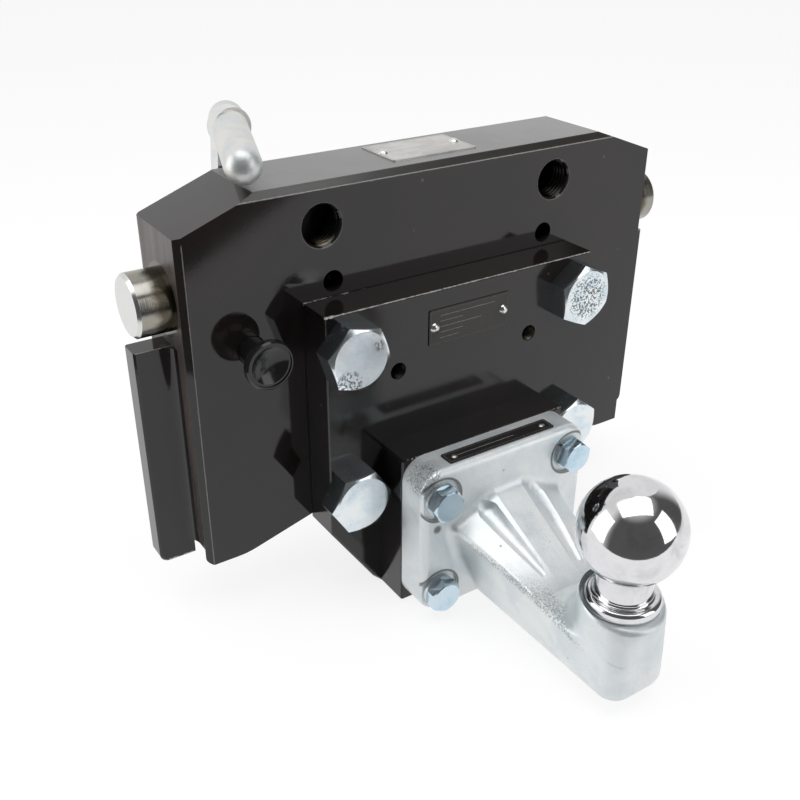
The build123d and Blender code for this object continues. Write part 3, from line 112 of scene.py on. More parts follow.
class Tree:
    """A node tree whose nodes are added and linked in few words."""

    def __init__(self, tree: bpy.types.NodeTree) -> None:
        """Empties the tree.

        Args:
            tree: the node tree to fill.
        """
        self.tree = tree
        self.tree.nodes.clear()

    def node(self, kind: str, **settings: object) -> bpy.types.Node:
        """Adds a node.

        Args:
            kind: Blender's name of the node's type.
            settings: the node's own settings.

        Returns:
            The new node.
        """
        made = self.tree.nodes.new(kind)
        for name, value in settings.items():
            setattr(made, name, value)
        return made

    def feed(self, socket: Socket, value: object) -> None:
        """Links a value that is a socket, and sets any other.

        Args:
            socket: the input that takes the value.
            value: a socket, a number or a colour.
        """
        if isinstance(value, bpy.types.NodeSocket):
            self.tree.links.new(value, socket)
        else:
            socket.default_value = value

    def math(self, operation: str, *values: object) -> Socket:
        """Works out one sum.

        Args:
            operation: the Math node's operation.
            values: its sockets or numbers.

        Returns:
            The result's socket.
        """
        made = self.node("ShaderNodeMath", operation=operation)
        for socket, value in zip(made.inputs, values):
            self.feed(socket, value)
        return made.outputs[0]

    def times(self, *values: object) -> Socket:
        """Multiplies two or more values."""
        return reduce(partial(self.math, "MULTIPLY"), values)

    def larger(self, *values: object) -> Socket:
        """Picks the largest of two or more values."""
        return reduce(partial(self.math, "MAXIMUM"), values)

    def fused(self, value: object, factor: object, more: object) -> Socket:
        """Multiplies a value and adds to the product."""
        return self.math("MULTIPLY_ADD", value, factor, more)

    def minus(self, value: object, taken: object) -> Socket:
        """Takes one value from another."""
        return self.math("SUBTRACT", value, taken)

    def size(self, value: object) -> Socket:
        """Drops the sign of a value."""
        return self.math("ABSOLUTE", value)

    def off(self, value: object, level: object) -> Socket:
        """Measures how far a value is from a level, to either side."""
        return self.size(self.minus(value, level))

    def radius(self, across: Socket, up: Socket) -> Socket:
        """Works out the distance from an axis."""
        return self.math("SQRT", self.math("ADD", self.times(across, across), self.times(up, up)))

    def away(self, vector: Socket, point: Point) -> Socket:
        """Measures the distance from a point.

        Args:
            vector: the coordinates.
            point: the point.

        Returns:
            The distance's socket.
        """
        made = self.node("ShaderNodeVectorMath", operation="DISTANCE")
        self.feed(made.inputs[0], vector)
        made.inputs[1].default_value = point
        return made.outputs["Value"]

    def step(self, value: object, low: float, high: float,
             at_low: float = 0.0, at_high: float = 1.0) -> Socket:
        """Turns a range of values smoothly into another.

        Args:
            value: the socket that is read.
            low: where the change starts.
            high: where it ends.
            at_low: what comes out up to the start.
            at_high: what comes out from the end on.

        Returns:
            The socket of the changed value.
        """
        made = self.node("ShaderNodeMapRange", interpolation_type="SMOOTHSTEP")
        for name, given in (
            ("Value", value), ("From Min", low), ("From Max", high),
            ("To Min", at_low), ("To Max", at_high),
        ):
            self.feed(made.inputs[name], given)
        return made.outputs["Result"]

    def clouds(self, vector: Socket, scale: object, detail: float, roughness: float = 0.55,
               distortion: float = 0.0) -> Socket:
        """Adds cloudy noise.

        Args:
            vector: the coordinates.
            scale: how many patches it has in a metre.
            detail: how many finer layers it has.
            roughness: how strong these are.
            distortion: how much it is swirled.

        Returns:
            The noise's socket, from 0 to 1.
        """
        made = self.node("ShaderNodeTexNoise", noise_dimensions="3D")
        for name, given in (
            ("Vector", vector), ("Scale", scale), ("Detail", detail),
            ("Roughness", roughness), ("Distortion", distortion),
        ):
            self.feed(made.inputs[name], given)
        return made.outputs["Fac"]

    def noise(self, vector: Socket, size: float, detail: float = 2.0,
              roughness: float = 0.55) -> Socket:
        """Adds cloudy noise whose patches have a size in metres."""
        return self.clouds(vector, 1.0 / size, detail, roughness)

    def blend(self, share: object, first: object, second: object) -> Socket:
        """Mixes two colours.

        Args:
            share: how much of the second shows.
            first: a colour or its socket.
            second: a colour or its socket.

        Returns:
            The mixed colour's socket.
        """
        made = self.node("ShaderNodeMix", data_type="RGBA")
        self.feed(made.inputs[0], share)
        self.feed(made.inputs[6], first)
        self.feed(made.inputs[7], second)
        return made.outputs[2]

    def either(self, share: Socket, first: bpy.types.Node, second: bpy.types.Node) -> Socket:
        """Mixes two shaders.

        Args:
            share: how much of the second shows.
            first: a shader's node.
            second: a shader's node.

        Returns:
            The mixed shader's socket.
        """
        made = self.node("ShaderNodeMixShader")
        for socket, value in zip(made.inputs, (share, first.outputs[0], second.outputs[0])):
            self.feed(socket, value)
        return made.outputs[0]

    def parts(self, vector: Socket) -> list[Socket]:
        """Splits a vector.

        Args:
            vector: the vector's socket.

        Returns:
            The sockets of its X, Y and Z.
        """
        made = self.node("ShaderNodeSeparateXYZ")
        self.feed(made.inputs[0], vector)
        return list(made.outputs)

    def stretched(self, vector: Socket, factors: Point) -> Socket:
        """Scales coordinates along the axes.

        Args:
            vector: the coordinates.
            factors: one factor for each axis.

        Returns:
            The scaled coordinates.
        """
        made = self.node("ShaderNodeMapping")
        self.feed(made.inputs["Vector"], vector)
        made.inputs["Scale"].default_value = factors
        return made.outputs[0]

    def bump(self, height: Socket, depth: float) -> Socket:
        """Turns a height into a normal.

        Args:
            height: the height's socket, from 0 to 1.
            depth: how deep a height of 1 is, in metres.

        Returns:
            The normal's socket.
        """
        made = self.node("ShaderNodeBump")
        made.inputs["Strength"].default_value = 1.0
        made.inputs["Distance"].default_value = depth
        self.feed(made.inputs["Height"], height)
        return made.outputs[0]


# Effects that several finishes share

class Effect:
    """A shader node group that is built once and placed in each finish that needs it."""

    NAME = ""
    INPUTS: tuple[str, ...] = ()
    OUTPUTS: tuple[str, ...] = ()

    def build(self, tree: Tree, given: dict[str, Socket]) -> tuple[Socket, ...]:
        """Adds the group's nodes.

        Args:
            tree: the group's own tree.
            given: its inputs by name.

        Returns:
            One socket for each of its outputs.
        """
        raise NotImplementedError

    def group(self) -> bpy.types.NodeTree:
        """Gives the group, and builds it the first time.

        Returns:
            The node group.
        """
        found = bpy.data.node_groups.get(self.NAME)
        if found is not None:
            return found
        made = bpy.data.node_groups.new(self.NAME, "ShaderNodeTree")
        for name in self.INPUTS:
            kind = "NodeSocketVector" if name == "Vector" else "NodeSocketFloat"
            made.interface.new_socket(name=name, in_out="INPUT", socket_type=kind)
        for name in self.OUTPUTS:
            made.interface.new_socket(name=name, in_out="OUTPUT", socket_type="NodeSocketFloat")
        tree = Tree(made)
        start = tree.node("NodeGroupInput")
        end = tree.node("NodeGroupOutput")
        given = {name: start.outputs[name] for name in self.INPUTS}
        for name, socket in zip(self.OUTPUTS, self.build(tree, given)):
            tree.feed(end.inputs[name], socket)
        return made

    def place(self, tree: Tree, **values: object) -> list[Socket]:
        """Places the group in a material.

        Args:
            tree: the material's tree.
            values: the group's inputs by name.

        Returns:
            The sockets of its outputs.
        """
        made = tree.node("ShaderNodeGroup", node_tree=self.group())
        for name, value in values.items():
            tree.feed(made.inputs[name], value)
        return list(made.outputs)


class Grain(Effect):
    """Fine and broad unevenness of a metal or painted surface."""

    NAME = "surface grain"
    INPUTS = ("Vector", "Fine", "Broad")
    OUTPUTS = ("Fine", "Broad")

    def build(self, tree: Tree, given: dict[str, Socket]) -> tuple[Socket, ...]:
        """Makes two noises, whose scales come in as cells in a metre."""
        return tuple(
            tree.clouds(given["Vector"], given[name], detail)
            for name, detail in (("Fine", 3.0), ("Broad", 4.0)))


class EdgeWear(Effect):
    """Worn or chipped line along an edge, ragged and broken by noise."""

    NAME = "edge wear"
    INPUTS = ("Vector", "Distance", "Width", "Breaks", "Ragged")
    OUTPUTS = ("Mask",)

    def build(self, tree: Tree, given: dict[str, Socket]) -> tuple[Socket, ...]:
        """Compares the distance from the edge with a width that the noise changes."""
        ragged = tree.noise(given["Vector"], 1.6 * MM, 4.0, 0.7)
        broken = tree.noise(given["Vector"], 14.0 * MM, 3.0, 0.6)
        swing = tree.times(tree.step(ragged, 0.38, 0.62, -0.75, 0.5), given["Ragged"])
        reach = tree.times(tree.math("ADD", swing, 1.0), given["Width"])
        share = tree.minus(broken, given["Breaks"])
        reach = tree.times(reach, tree.step(share, -0.06, 0.1))
        left = tree.minus(reach, given["Distance"])
        return (tree.step(left, -0.05 * MM, 0.12 * MM),)


class Specks(Effect):
    """Small round specks, such as dust on paint or pits in a casting."""

    NAME = "specks"
    INPUTS = ("Vector", "Scale", "Share")
    OUTPUTS = ("Mask",)

    def build(self, tree: Tree, given: dict[str, Socket]) -> tuple[Socket, ...]:
        """Keeps the middles of a few of the cells."""
        cells = tree.node("ShaderNodeTexVoronoi")
        tree.feed(cells.inputs["Vector"], given["Vector"])
        tree.feed(cells.inputs["Scale"], given["Scale"])
        middle = tree.step(cells.outputs["Distance"], 0.12, 0.26, 1.0, 0.0)
        chosen = tree.parts(cells.outputs["Color"])[0]
        kept = tree.math("LESS_THAN", chosen, given["Share"])
        return (tree.times(middle, kept),)


class Patina(Effect):
    """Blotches and clouds, such as passivation on zinc or stains on steel."""

    NAME = "patina"
    INPUTS = ("Vector", "Scale")
    OUTPUTS = ("Cloud", "Blotch")

    def build(self, tree: Tree, given: dict[str, Socket]) -> tuple[Socket, ...]:
        """Makes a soft cloud and a blotch with a harder rim."""
        return tuple(
            tree.step(tree.clouds(given["Vector"], given["Scale"], detail, 0.62, 0.4), low, high)
            for detail, low, high in ((3.0, 0.35, 0.68), (6.0, 0.5, 0.64)))


class FormLines(Effect):
    """Border and empty ruled lines of a blank identification plate."""

    NAME = "blank form lines"
    INPUTS = ("Across", "Along", "Half width", "Half height", "Pitch", "Border")
    OUTPUTS = ("Mask",)

    def build(self, tree: Tree, given: dict[str, Socket]) -> tuple[Socket, ...]:
        """Draws the frame line and the rules between the rivets."""
        across = tree.size(given["Across"])
        along = tree.size(given["Along"])
        side = tree.minus(given["Half width"], across)
        end = tree.minus(given["Half height"], along)
        near = tree.math("MINIMUM", side, end)
        off = tree.off(near, 1.1 * MM)
        border = tree.times(tree.step(off, 0.10 * MM, 0.2 * MM, 1.0, 0.0), given["Border"])
        row = tree.math("PINGPONG", given["Along"], given["Pitch"])
        rule = tree.step(row, 0.09 * MM, 0.18 * MM, 1.0, 0.0)
        inside = tree.times(
            tree.step(side, 6.5 * MM, 6.6 * MM), tree.step(end, 2.4 * MM, 2.5 * MM),
            self.length(tree, given))
        return (tree.larger(border, tree.times(rule, inside)),)

    def length(self, tree: Tree, given: dict[str, Socket]) -> Socket:
        """Ends each rule at a length of its own.

        Args:
            tree: the group's own tree.
            given: its inputs by name.

        Returns:
            The socket of the mask of the rules' reach.
        """
        double = tree.times(given["Pitch"], 2.0)
        number = tree.math("ROUND", tree.math("DIVIDE", given["Along"], double))
        chance = tree.node("ShaderNodeTexWhiteNoise", noise_dimensions="1D")
        tree.feed(chance.inputs["W"], number)
        share = tree.fused(chance.outputs["Value"], 1.1, -0.35)
        reach = tree.times(share, given["Half width"])
        return tree.step(tree.minus(reach, given["Across"]), 0.0, 0.1 * MM)


# Finishes

@dataclass(frozen=True)
class Finish:
    """A surface finish that makes its own material."""

    name: str
    colour: Colour
    roughness: float

    def material(self) -> bpy.types.Material:
        """Gives the material, and makes it the first time.

        Returns:
            The material.
        """
        found = bpy.data.materials.get(self.name)
        if found is not None:
            return found
        made = bpy.data.materials.new(self.name)
        made.use_nodes = True
        tree = Tree(made.node_tree)
        shader = tree.node("ShaderNodeBsdfPrincipled")
        end = tree.node("ShaderNodeOutputMaterial")
        tree.feed(end.inputs["Surface"], shader.outputs[0])
        where = tree.node("ShaderNodeTexCoord").outputs["Object"]
        for name, value in self.look(tree, where).items():
            tree.feed(shader.inputs[name], value)
        return made

    def look(self, tree: Tree, where: Socket) -> dict[str, object]:
        """Adds the finish's nodes.

        Args:
            tree: the material's tree.
            where: the Object coordinates.

        Returns:
            The values or sockets of the Principled BSDF's inputs, by name.
        """
        raise NotImplementedError


@dataclass(frozen=True, kw_only=True)
class Mark:
    """A place on a painted piece where the finish changes."""

    colour: Colour = (0.42, 0.41, 0.39, 1.0)
    strength: float = 1.0
    rough: float = 0.2
    sunk: float = 0.0

    def mask(self, tree: Tree, where: Socket) -> Socket:
        """Finds the place.

        Args:
            tree: the material's tree.
            where: the Object coordinates.

        Returns:
            The socket of its mask.
        """
        raise NotImplementedError


@dataclass(frozen=True, kw_only=True)
class WornEdge(Mark):
    """A straight edge in the plane Y = front where the paint has worn thin or chipped off."""

    front: float
    level: float
    across: Axis = Axis.Z
    width: float
    breaks: float = 0.0
    ragged: float = 1.0
    along: Axis = Axis.X
    low: float = -1.0
    high: float = 1.0
    fade: float = 2.0 * MM
    sunk: float = 1.0

    def mask(self, tree: Tree, where: Socket) -> Socket:
        """Places the wear along the edge."""
        at = tree.parts(where)
        far = tree.larger(
            tree.off(at[Axis.Y.value], self.front), tree.off(at[self.across.value], self.level))
        worn = EdgeWear().place(
            tree, Vector=where, Distance=far, Width=self.width, Breaks=self.breaks,
            Ragged=self.ragged)[0]
        run = at[self.along.value]
        after = tree.step(run, self.low, self.low + self.fade)
        before = tree.step(run, self.high - self.fade, self.high, 1.0, 0.0)
        return tree.times(worn, after, before)


@dataclass(frozen=True, kw_only=True)
class ShadedBores(Mark):
    """Two holes along Y, left and right of the middle, whose walls are painted near-black and
    rough as painted shade inside.
    """

    x: float
    z: float
    radius: float
    mouth: float
    depth: float = 20.0 * MM
    # Painted shade: the bores' walls are painted near-black.
    colour: Colour = JOINT_BLACK_AND_HOLE_SHADE

    def far(self, tree: Tree, where: Socket) -> tuple[Socket, Socket]:
        """Gives the distance from the nearer hole's axis, and Y."""
        x, y, z = tree.parts(where)
        return tree.radius(tree.minus(tree.size(x), self.x), tree.minus(z, self.z)), y

    def mask(self, tree: Tree, where: Socket) -> Socket:
        """Finds the walls behind the holes' mouths."""
        far, y = self.far(tree, where)
        near = tree.step(far, self.radius + 0.1 * MM, self.radius + 0.5 * MM, 1.0, 0.0)
        end = self.mouth + self.depth
        within = tree.step(y, end, end + 0.5 * MM, 1.0, 0.0)
        behind = tree.step(y, self.mouth, self.mouth + 0.4 * MM)
        return tree.times(near, behind, within)


@dataclass(frozen=True, kw_only=True)
class MouthHighlightRings(ShadedBores):
    """Thin pale rings painted at the mouths of two holes, as painted highlights on their edges."""

    def mask(self, tree: Tree, where: Socket) -> Socket:
        """Finds the rings."""
        far, y = self.far(tree, where)
        ring = tree.step(tree.off(far, self.radius), 0.1 * MM, 0.28 * MM, 1.0, 0.0)
        front = tree.step(y, self.mouth, self.mouth + 0.4 * MM, 1.0, 0.0)
        return tree.times(ring, front)


@dataclass(frozen=True, kw_only=True)
class Seam(Mark):
    """The dark joint line round a rectangular piece that stands on the face."""

    half_width: float
    bottom: float
    top: float
    face: float
    width: float = 0.42 * MM
    colour: Colour = JOINT_BLACK_AND_HOLE_SHADE
    sunk: float = 1.0

    def mask(self, tree: Tree, where: Socket) -> Socket:
        """Finds the line round the rectangle."""
        x, y, z = tree.parts(where)
        middle = (self.top + self.bottom) / 2.0
        side = tree.minus(tree.size(x), self.half_width)
        height = tree.off(z, middle)
        end = tree.minus(height, (self.top - self.bottom) / 2.0)
        off = tree.size(tree.larger(side, end))
        line = tree.step(off, 0.5 * self.width, self.width, 1.0, 0.0)
        front = tree.step(y, self.face + 0.5 * MM, self.face + 1.0 * MM, 1.0, 0.0)
        return tree.times(line, front)


@dataclass(frozen=True, kw_only=True)
class PaleTop(Mark):
    """The highest face, painted a paler grey in clouds."""

    level: float

    def mask(self, tree: Tree, where: Socket) -> Socket:
        """Finds the face."""
        high = tree.step(tree.parts(where)[2], self.level - 0.35 * MM, self.level - 0.1 * MM)
        cloud = Patina().place(tree, Vector=where, Scale=16.0)[0]
        return tree.times(high, tree.fused(cloud, 0.25, 0.75))


@dataclass(frozen=True, kw_only=True)
class BevelHighlight(Mark):
    """The bevel between the front and the highest face, painted a paler grey as a painted
    highlight.
    """

    front: float
    top: float
    size: float

    def mask(self, tree: Tree, where: Socket) -> Socket:
        """Finds the bevel's plane."""
        _, y, z = tree.parts(where)
        deep = tree.minus(y, self.front)
        low = tree.minus(self.top, z)
        off = tree.off(tree.math("ADD", deep, low), self.size)
        cloud = Patina().place(tree, Vector=where, Scale=30.0)[0]
        plane = tree.step(off, 0.15 * MM, 0.4 * MM, 1.0, 0.0)
        return tree.times(plane, tree.fused(cloud, 0.3, 0.7))


@dataclass(frozen=True, kw_only=True)
class ReflectionStreakedSides(Mark):
    """The left and right faces, painted paler and brownish in vertical streaks as painted
    reflections, with rougher paint.
    """

    half_width: float

    def mask(self, tree: Tree, where: Socket) -> Socket:
        """Finds the faces and the streaks on them."""
        across = tree.size(tree.parts(where)[0])
        off = tree.off(across, self.half_width)
        side = tree.step(off, 0.05 * MM, 0.2 * MM, 1.0, 0.0)
        reflection_streaks = tree.noise(tree.stretched(where, (1.0, 1.0, 0.12)), 8.0 * MM, 3.0)
        return tree.times(side, tree.step(reflection_streaks, 0.3, 0.7, 0.45, 1.0))


@dataclass(frozen=True)
class GlossPaint(Finish):
    """Glossy black machine paint with a little orange peel, dust and worn places."""

    marks: tuple[Mark, ...] = ()

    def look(self, tree: Tree, where: Socket) -> dict[str, object]:
        """Paints the piece."""
        fine, broad = Grain().place(tree, Vector=where, Fine=620.0, Broad=14.0)
        dust = Specks().place(tree, Vector=where, Scale=210.0, Share=0.006)[0]
        smear = Patina().place(tree, Vector=where, Scale=9.0)[0]
        warm = tuple(c * f for c, f in zip(self.colour, (1.9, 1.5, 1.45, 1.0)))
        colour = tree.blend(smear, self.colour, warm)
        colour = tree.blend(tree.times(dust, 0.3), colour, (0.3, 0.29, 0.27, 1.0))
        rough = tree.math("ADD", tree.step(broad, 0.3, 0.7, -0.025, 0.035), self.roughness)
        peel = tree.fused(fine, 0.12, broad)
        for mark in self.marks:
            mask = mark.mask(tree, where)
            colour = tree.blend(tree.times(mask, mark.strength), colour, mark.colour)
            rough = tree.math("ADD", rough, tree.times(mask, mark.rough))
            peel = tree.minus(peel, tree.times(mask, mark.sunk))
        return {"Base Color": colour, "Roughness": rough, "Normal": tree.bump(peel, 0.05 * MM)}


@dataclass(frozen=True)
class CastZinc(Finish):
    """Galvanised casting: bluish white, soft grain, a patch with painted glints and a speckled
    parting line.
    """

    metallic: float = 0.55
    shade: Colour = (0.46, 0.56, 0.62, 1.0)
    dark: Colour = (0.2, 0.21, 0.2, 1.0)
    line_height: float = -60.5 * MM
    line_rise: float = 0.268
    nose_drop: float = 0.45
    patch: Point = (-49.0 * MM, 92.0 * MM, -5.0 * MM)
    patch_radius: float = 13.0 * MM
    bolt_x: float = 41.5 * MM
    bolt_middle: float = -45.7 * MM
    bolt_half: float = 28.0 * MM
    ring_radius: float = 12.1 * MM
    flange_front: float = 85.2 * MM
    root: Point = (-43.5 * MM, 85.0 * MM, -34.5 * MM)

    def parting(self, tree: Tree, where: Socket, wander: Socket) -> Socket:
        """Finds the parting line, which follows the arm's shoulders down to the nose.

        Args:
            tree: the material's tree.
            where: the Object coordinates.
            wander: the noise that makes the line wander.

        Returns:
            The socket of its mask.
        """
        x, y, z = tree.parts(where)
        back = tree.times(tree.larger(y, 0.0), self.line_rise)
        nose = tree.times(tree.math("MINIMUM", y, 0.0), self.nose_drop)
        line = tree.math("ADD", tree.math("ADD", back, nose), self.line_height)
        off = tree.minus(z, line)
        off = tree.fused(tree.minus(wander, 0.5), 3.0 * MM, off)
        near = tree.step(tree.size(off), 0.5 * MM, 2.6 * MM, 1.0, 0.0)
        side = tree.step(tree.size(x), 10.0 * MM, 15.0 * MM)
        root = tree.step(y, 68.0 * MM, 80.0 * MM, 1.0, 0.0)
        tip = tree.step(y, -3.0 * MM, 12.0 * MM, 0.0, 0.7)
        return tree.times(near, side, root, tip)

    def rings_and_root_shade(self, tree: Tree, where: Socket) -> Socket:
        """Finds the dark rings round the bolts' spot faces, and the painted shade of a dark spot
        at the rib's root.

        Args:
            tree: the material's tree.
            where: the Object coordinates.

        Returns:
            The socket of its mask.
        """
        x, y, z = tree.parts(where)
        across = tree.minus(tree.size(x), self.bolt_x)
        height = tree.off(z, self.bolt_middle)
        up = tree.minus(height, self.bolt_half)
        off = tree.off(tree.radius(across, up), self.ring_radius)
        ring = tree.step(off, 0.35 * MM, 0.9 * MM, 0.8, 0.0)
        front = tree.step(y, self.flange_front + 2.0 * MM, self.flange_front + 4.0 * MM, 1.0, 0.0)
        root_shade = tree.step(tree.away(where, self.root), 1.2 * MM, 3.2 * MM, 0.8, 0.0)
        return tree.larger(tree.times(ring, front), root_shade)

    def speckle_and_glint_patch(self, tree: Tree, where: Socket) -> Socket:
        """Finds the rough patch at the flange's upper left corner."""
        away = tree.away(where, self.patch)
        return tree.step(away, 0.45 * self.patch_radius, self.patch_radius, 1.0, 0.0)

    def look(self, tree: Tree, where: Socket) -> dict[str, object]:
        """Plates the casting."""
        fine, broad = Grain().place(tree, Vector=where, Fine=1100.0, Broad=70.0)
        cloud, blotch = Patina().place(tree, Vector=where, Scale=38.0)
        pits = Specks().place(tree, Vector=where, Scale=330.0, Share=0.022)[0]
        colour = tree.blend(tree.times(cloud, 0.36), self.colour, self.shade)
        skin = tree.step(fine, 0.48, 0.7)
        colour = tree.blend(tree.times(skin, 0.14), colour, self.shade)
        patch = self.speckle_and_glint_patch(tree, where)
        rough_place = tree.larger(self.parting(tree, where, broad), patch)
        speckle = tree.times(rough_place, tree.step(fine, 0.47, 0.58))
        colour = tree.blend(tree.times(speckle, 0.75), colour, self.dark)
        colour = tree.blend(tree.times(pits, 0.45), colour, (0.12, 0.12, 0.12, 1.0))
        # Painted glints: the patch gets white specks in its colour.
        painted_glints = Specks().place(tree, Vector=where, Scale=620.0, Share=0.3)[0]
        painted_glints = tree.times(painted_glints, patch)
        colour = tree.blend(tree.times(painted_glints, 0.9), colour, WHITE)
        # Dark spot-face rings, and painted shade at the rib's root.
        colour = tree.blend(self.rings_and_root_shade(tree, where), colour, (0.07, 0.068, 0.06, 1.0))
        rough = tree.fused(blotch, -0.08, self.roughness)
        rough = tree.fused(patch, -0.12, rough)
        height = tree.fused(fine, 0.45, tree.times(broad, 1.5))
        height = tree.fused(speckle, -0.9, height)
        height = tree.fused(pits, -0.8, height)
        return {"Base Color": colour, "Metallic": self.metallic, "Roughness": rough,
                "Normal": tree.bump(height, 0.2 * MM)}


@dataclass(frozen=True)
class PlatedZinc(Finish):
    """Bright zinc plating with bluish passivation, pitted places and dull flats."""

    wear_and_reflection_dark: Colour = (0.1, 0.115, 0.12, 1.0)
    pitting: float = 0.6
    scale: float = 90.0
    metallic: float = 0.85
    spots: tuple[tuple[Point, float], ...] = ()
    grains: float = 0.55 * MM
    dull: tuple[float, float] | None = None

    def speckled(self, tree: Tree, where: Socket) -> Socket:
        """Finds the listed spots, speckled dark: pits on the bolts, and a painted dark reflection
        on the grip.

        Args:
            tree: the material's tree.
            where: the Object coordinates.

        Returns:
            The socket of their mask.
        """
        specks = tree.step(tree.noise(where, self.grains, 2.0), 0.5, 0.56)
        found: object = 0.0
        for centre, radius in self.spots:
            near = tree.step(tree.away(where, centre), 0.6 * radius, radius, 1.0, 0.0)
            found = tree.larger(near, found)
        return tree.times(found, specks)

    def look(self, tree: Tree, where: Socket) -> dict[str, object]:
        """Plates the piece."""
        fine, broad = Grain().place(tree, Vector=where, Fine=1500.0, Broad=90.0)
        cloud, blotch = Patina().place(tree, Vector=where, Scale=self.scale)
        tint = tuple(c * f for c, f in zip(self.colour, (0.82, 0.9, 0.95, 1.0)))
        colour = tree.blend(cloud, self.colour, tint)
        pits = Specks().place(tree, Vector=where, Scale=1100.0, Share=0.4)[0]
        worn = tree.times(blotch, tree.larger(pits, tree.step(fine, 0.6, 0.68)))
        colour = tree.blend(tree.times(worn, self.pitting), colour, self.wear_and_reflection_dark)
        # Listed spots speckled dark: pits, and on the grip a painted reflection.
        if self.spots:
            spotted = tree.times(self.speckled(tree, where), 0.9)
            colour = tree.blend(spotted, colour, self.wear_and_reflection_dark)
        if self.dull is not None:
            low, high = self.dull
            depth = tree.parts(where)[1]
            past = tree.step(depth, low, low + 0.7 * MM)
            flats = tree.times(past, tree.step(depth, high, high + 1.0 * MM, 0.6, 0.0))
            colour = tree.blend(flats, colour, self.wear_and_reflection_dark)
        rough = tree.fused(broad, 0.14, self.roughness - 0.07)
        rough = tree.fused(worn, 0.15, rough)
        height = tree.fused(fine, 0.3, broad)
        height = tree.fused(worn, -0.4, height)
        return {"Base Color": colour, "Metallic": self.metallic, "Roughness": rough,
                "Normal": tree.bump(height, 0.06 * MM)}


@dataclass(frozen=True)
class TurnedSteel(Finish):
    """Turned or drawn bare steel with fine marks across its axis and a few stains."""

    axis: Axis = Axis.X
    stain: Colour = (0.42, 0.36, 0.26, 1.0)
    stains: float = 0.4
    marks: float = 0.02 * MM

    def look(self, tree: Tree, where: Socket) -> dict[str, object]:
        """Turns the piece."""
        factors = tuple(2600.0 if axis is self.axis else 60.0 for axis in Axis)
        rings = tree.clouds(tree.stretched(where, factors), 1.0, 2.0, 0.5)
        cloud, blotch = Patina().place(tree, Vector=where, Scale=70.0)
        colour = tree.blend(cloud, self.colour, shaded(self.colour, 0.86))
        colour = tree.blend(tree.times(blotch, self.stains), colour, self.stain)
        rough = tree.fused(rings, 0.06, self.roughness - 0.03)
        return {"Base Color": self.grease_shade_and_highlight(tree, where, colour), "Metallic": 1.0,
                "Roughness": tree.fused(blotch, 0.08, rough),
                "Normal": tree.bump(rings, self.marks)}

    def grease_shade_and_highlight(self, tree: Tree, where: Socket, colour: Socket) -> Socket:
        """Leaves the steel as it is."""
        return colour


@dataclass(frozen=True)
class GreasedSteel(TurnedSteel):
    """Bare pin steel, greasy and darkened by painted shade where the pin leaves the block, with a
    painted highlight on its chamfered end.
    """

    grease_and_shade: Colour = (0.07, 0.058, 0.038, 1.0)
    chamfer_highlight: Colour = (0.66, 0.67, 0.655, 1.0)
    reach: float = 10.5 * MM
    chamfer_start: float = 156.8 * MM

    def grease_shade_and_highlight(self, tree: Tree, where: Socket, colour: Socket) -> Socket:
        """Darkens the pin beside the block with greasy dirt and painted shade, and paints a
        highlight on the chamfered end.
        """
        out = tree.minus(tree.size(tree.parts(where)[0]), BLOCK_SIDE)
        smear = tree.noise(tree.stretched(where, (0.35, 1.0, 1.0)), 6.0 * MM, 3.0)
        edge = tree.fused(tree.minus(smear, 0.5), 8.0 * MM, out)
        # Greasy dirt and painted shade near the block; painted highlight on the chamfered end.
        near = tree.step(edge, 0.5 * self.reach, self.reach, 0.88, 0.0)
        end = tree.step(out, self.chamfer_start - BLOCK_SIDE - 0.1 * MM,
                        self.chamfer_start - BLOCK_SIDE + 0.2 * MM)
        return tree.blend(end, tree.blend(near, colour, self.grease_and_shade), self.chamfer_highlight)


@dataclass(frozen=True)
class MouldedPlastic(Finish):
    """Glossy moulded plastic with faint flow waves and handling scuffs."""

    def look(self, tree: Tree, where: Socket) -> dict[str, object]:
        """Moulds the piece."""
        fine, broad = Grain().place(tree, Vector=where, Fine=800.0, Broad=120.0)
        scuff = Patina().place(tree, Vector=where, Scale=180.0)[1]
        grey = shaded(self.colour, 3.0)
        colour = tree.blend(tree.times(scuff, 0.3), self.colour, grey)
        height = tree.fused(fine, 0.12, broad)
        return {"Base Color": colour,
                "Roughness": tree.fused(scuff, 0.08, self.roughness),
                "Normal": tree.bump(height, 0.03 * MM)}


@dataclass(frozen=True)
class BlankPlate(Finish):
    """Brushed identification plate that carries only a border and empty ruled lines."""

    ink: Colour = (0.1, 0.1, 0.1, 1.0)
    centre: Point = (0.0, 0.0, 0.0)
    across: Axis = Axis.X
    along: Axis = Axis.Y
    half_width: float = 25.0 * MM
    half_height: float = 15.0 * MM
    pitch: float = 3.2 * MM
    border: float = 1.0
    metallic: float = 1.0

    def look(self, tree: Tree, where: Socket) -> dict[str, object]:
        """Brushes and rules the plate."""
        at = tree.parts(where)
        u = tree.minus(at[self.across.value], self.centre[self.across.value])
        v = tree.minus(at[self.along.value], self.centre[self.along.value])
        lines = FormLines().place(
            tree, Across=u, Along=v, Pitch=self.pitch, Border=self.border,
            **{"Half width": self.half_width, "Half height": self.half_height})[0]
        brushed = tree.noise(tree.stretched(where, (0.05, 1.0, 1.0)), 0.25 * MM, 2.0)
        cloud, blotch = Patina().place(tree, Vector=where, Scale=60.0)
        colour = tree.blend(cloud, self.colour, shaded(self.colour, 0.8))
        colour = tree.blend(tree.times(lines, 0.75), colour, self.ink)
        rough = tree.fused(brushed, 0.12, self.roughness - 0.06)
        rough = tree.fused(blotch, 0.08, rough)
        height = tree.fused(lines, 0.6, brushed)
        return {"Base Color": colour, "Metallic": self.metallic, "Roughness": rough,
                "Normal": tree.bump(height, 0.04 * MM)}


# Meshes

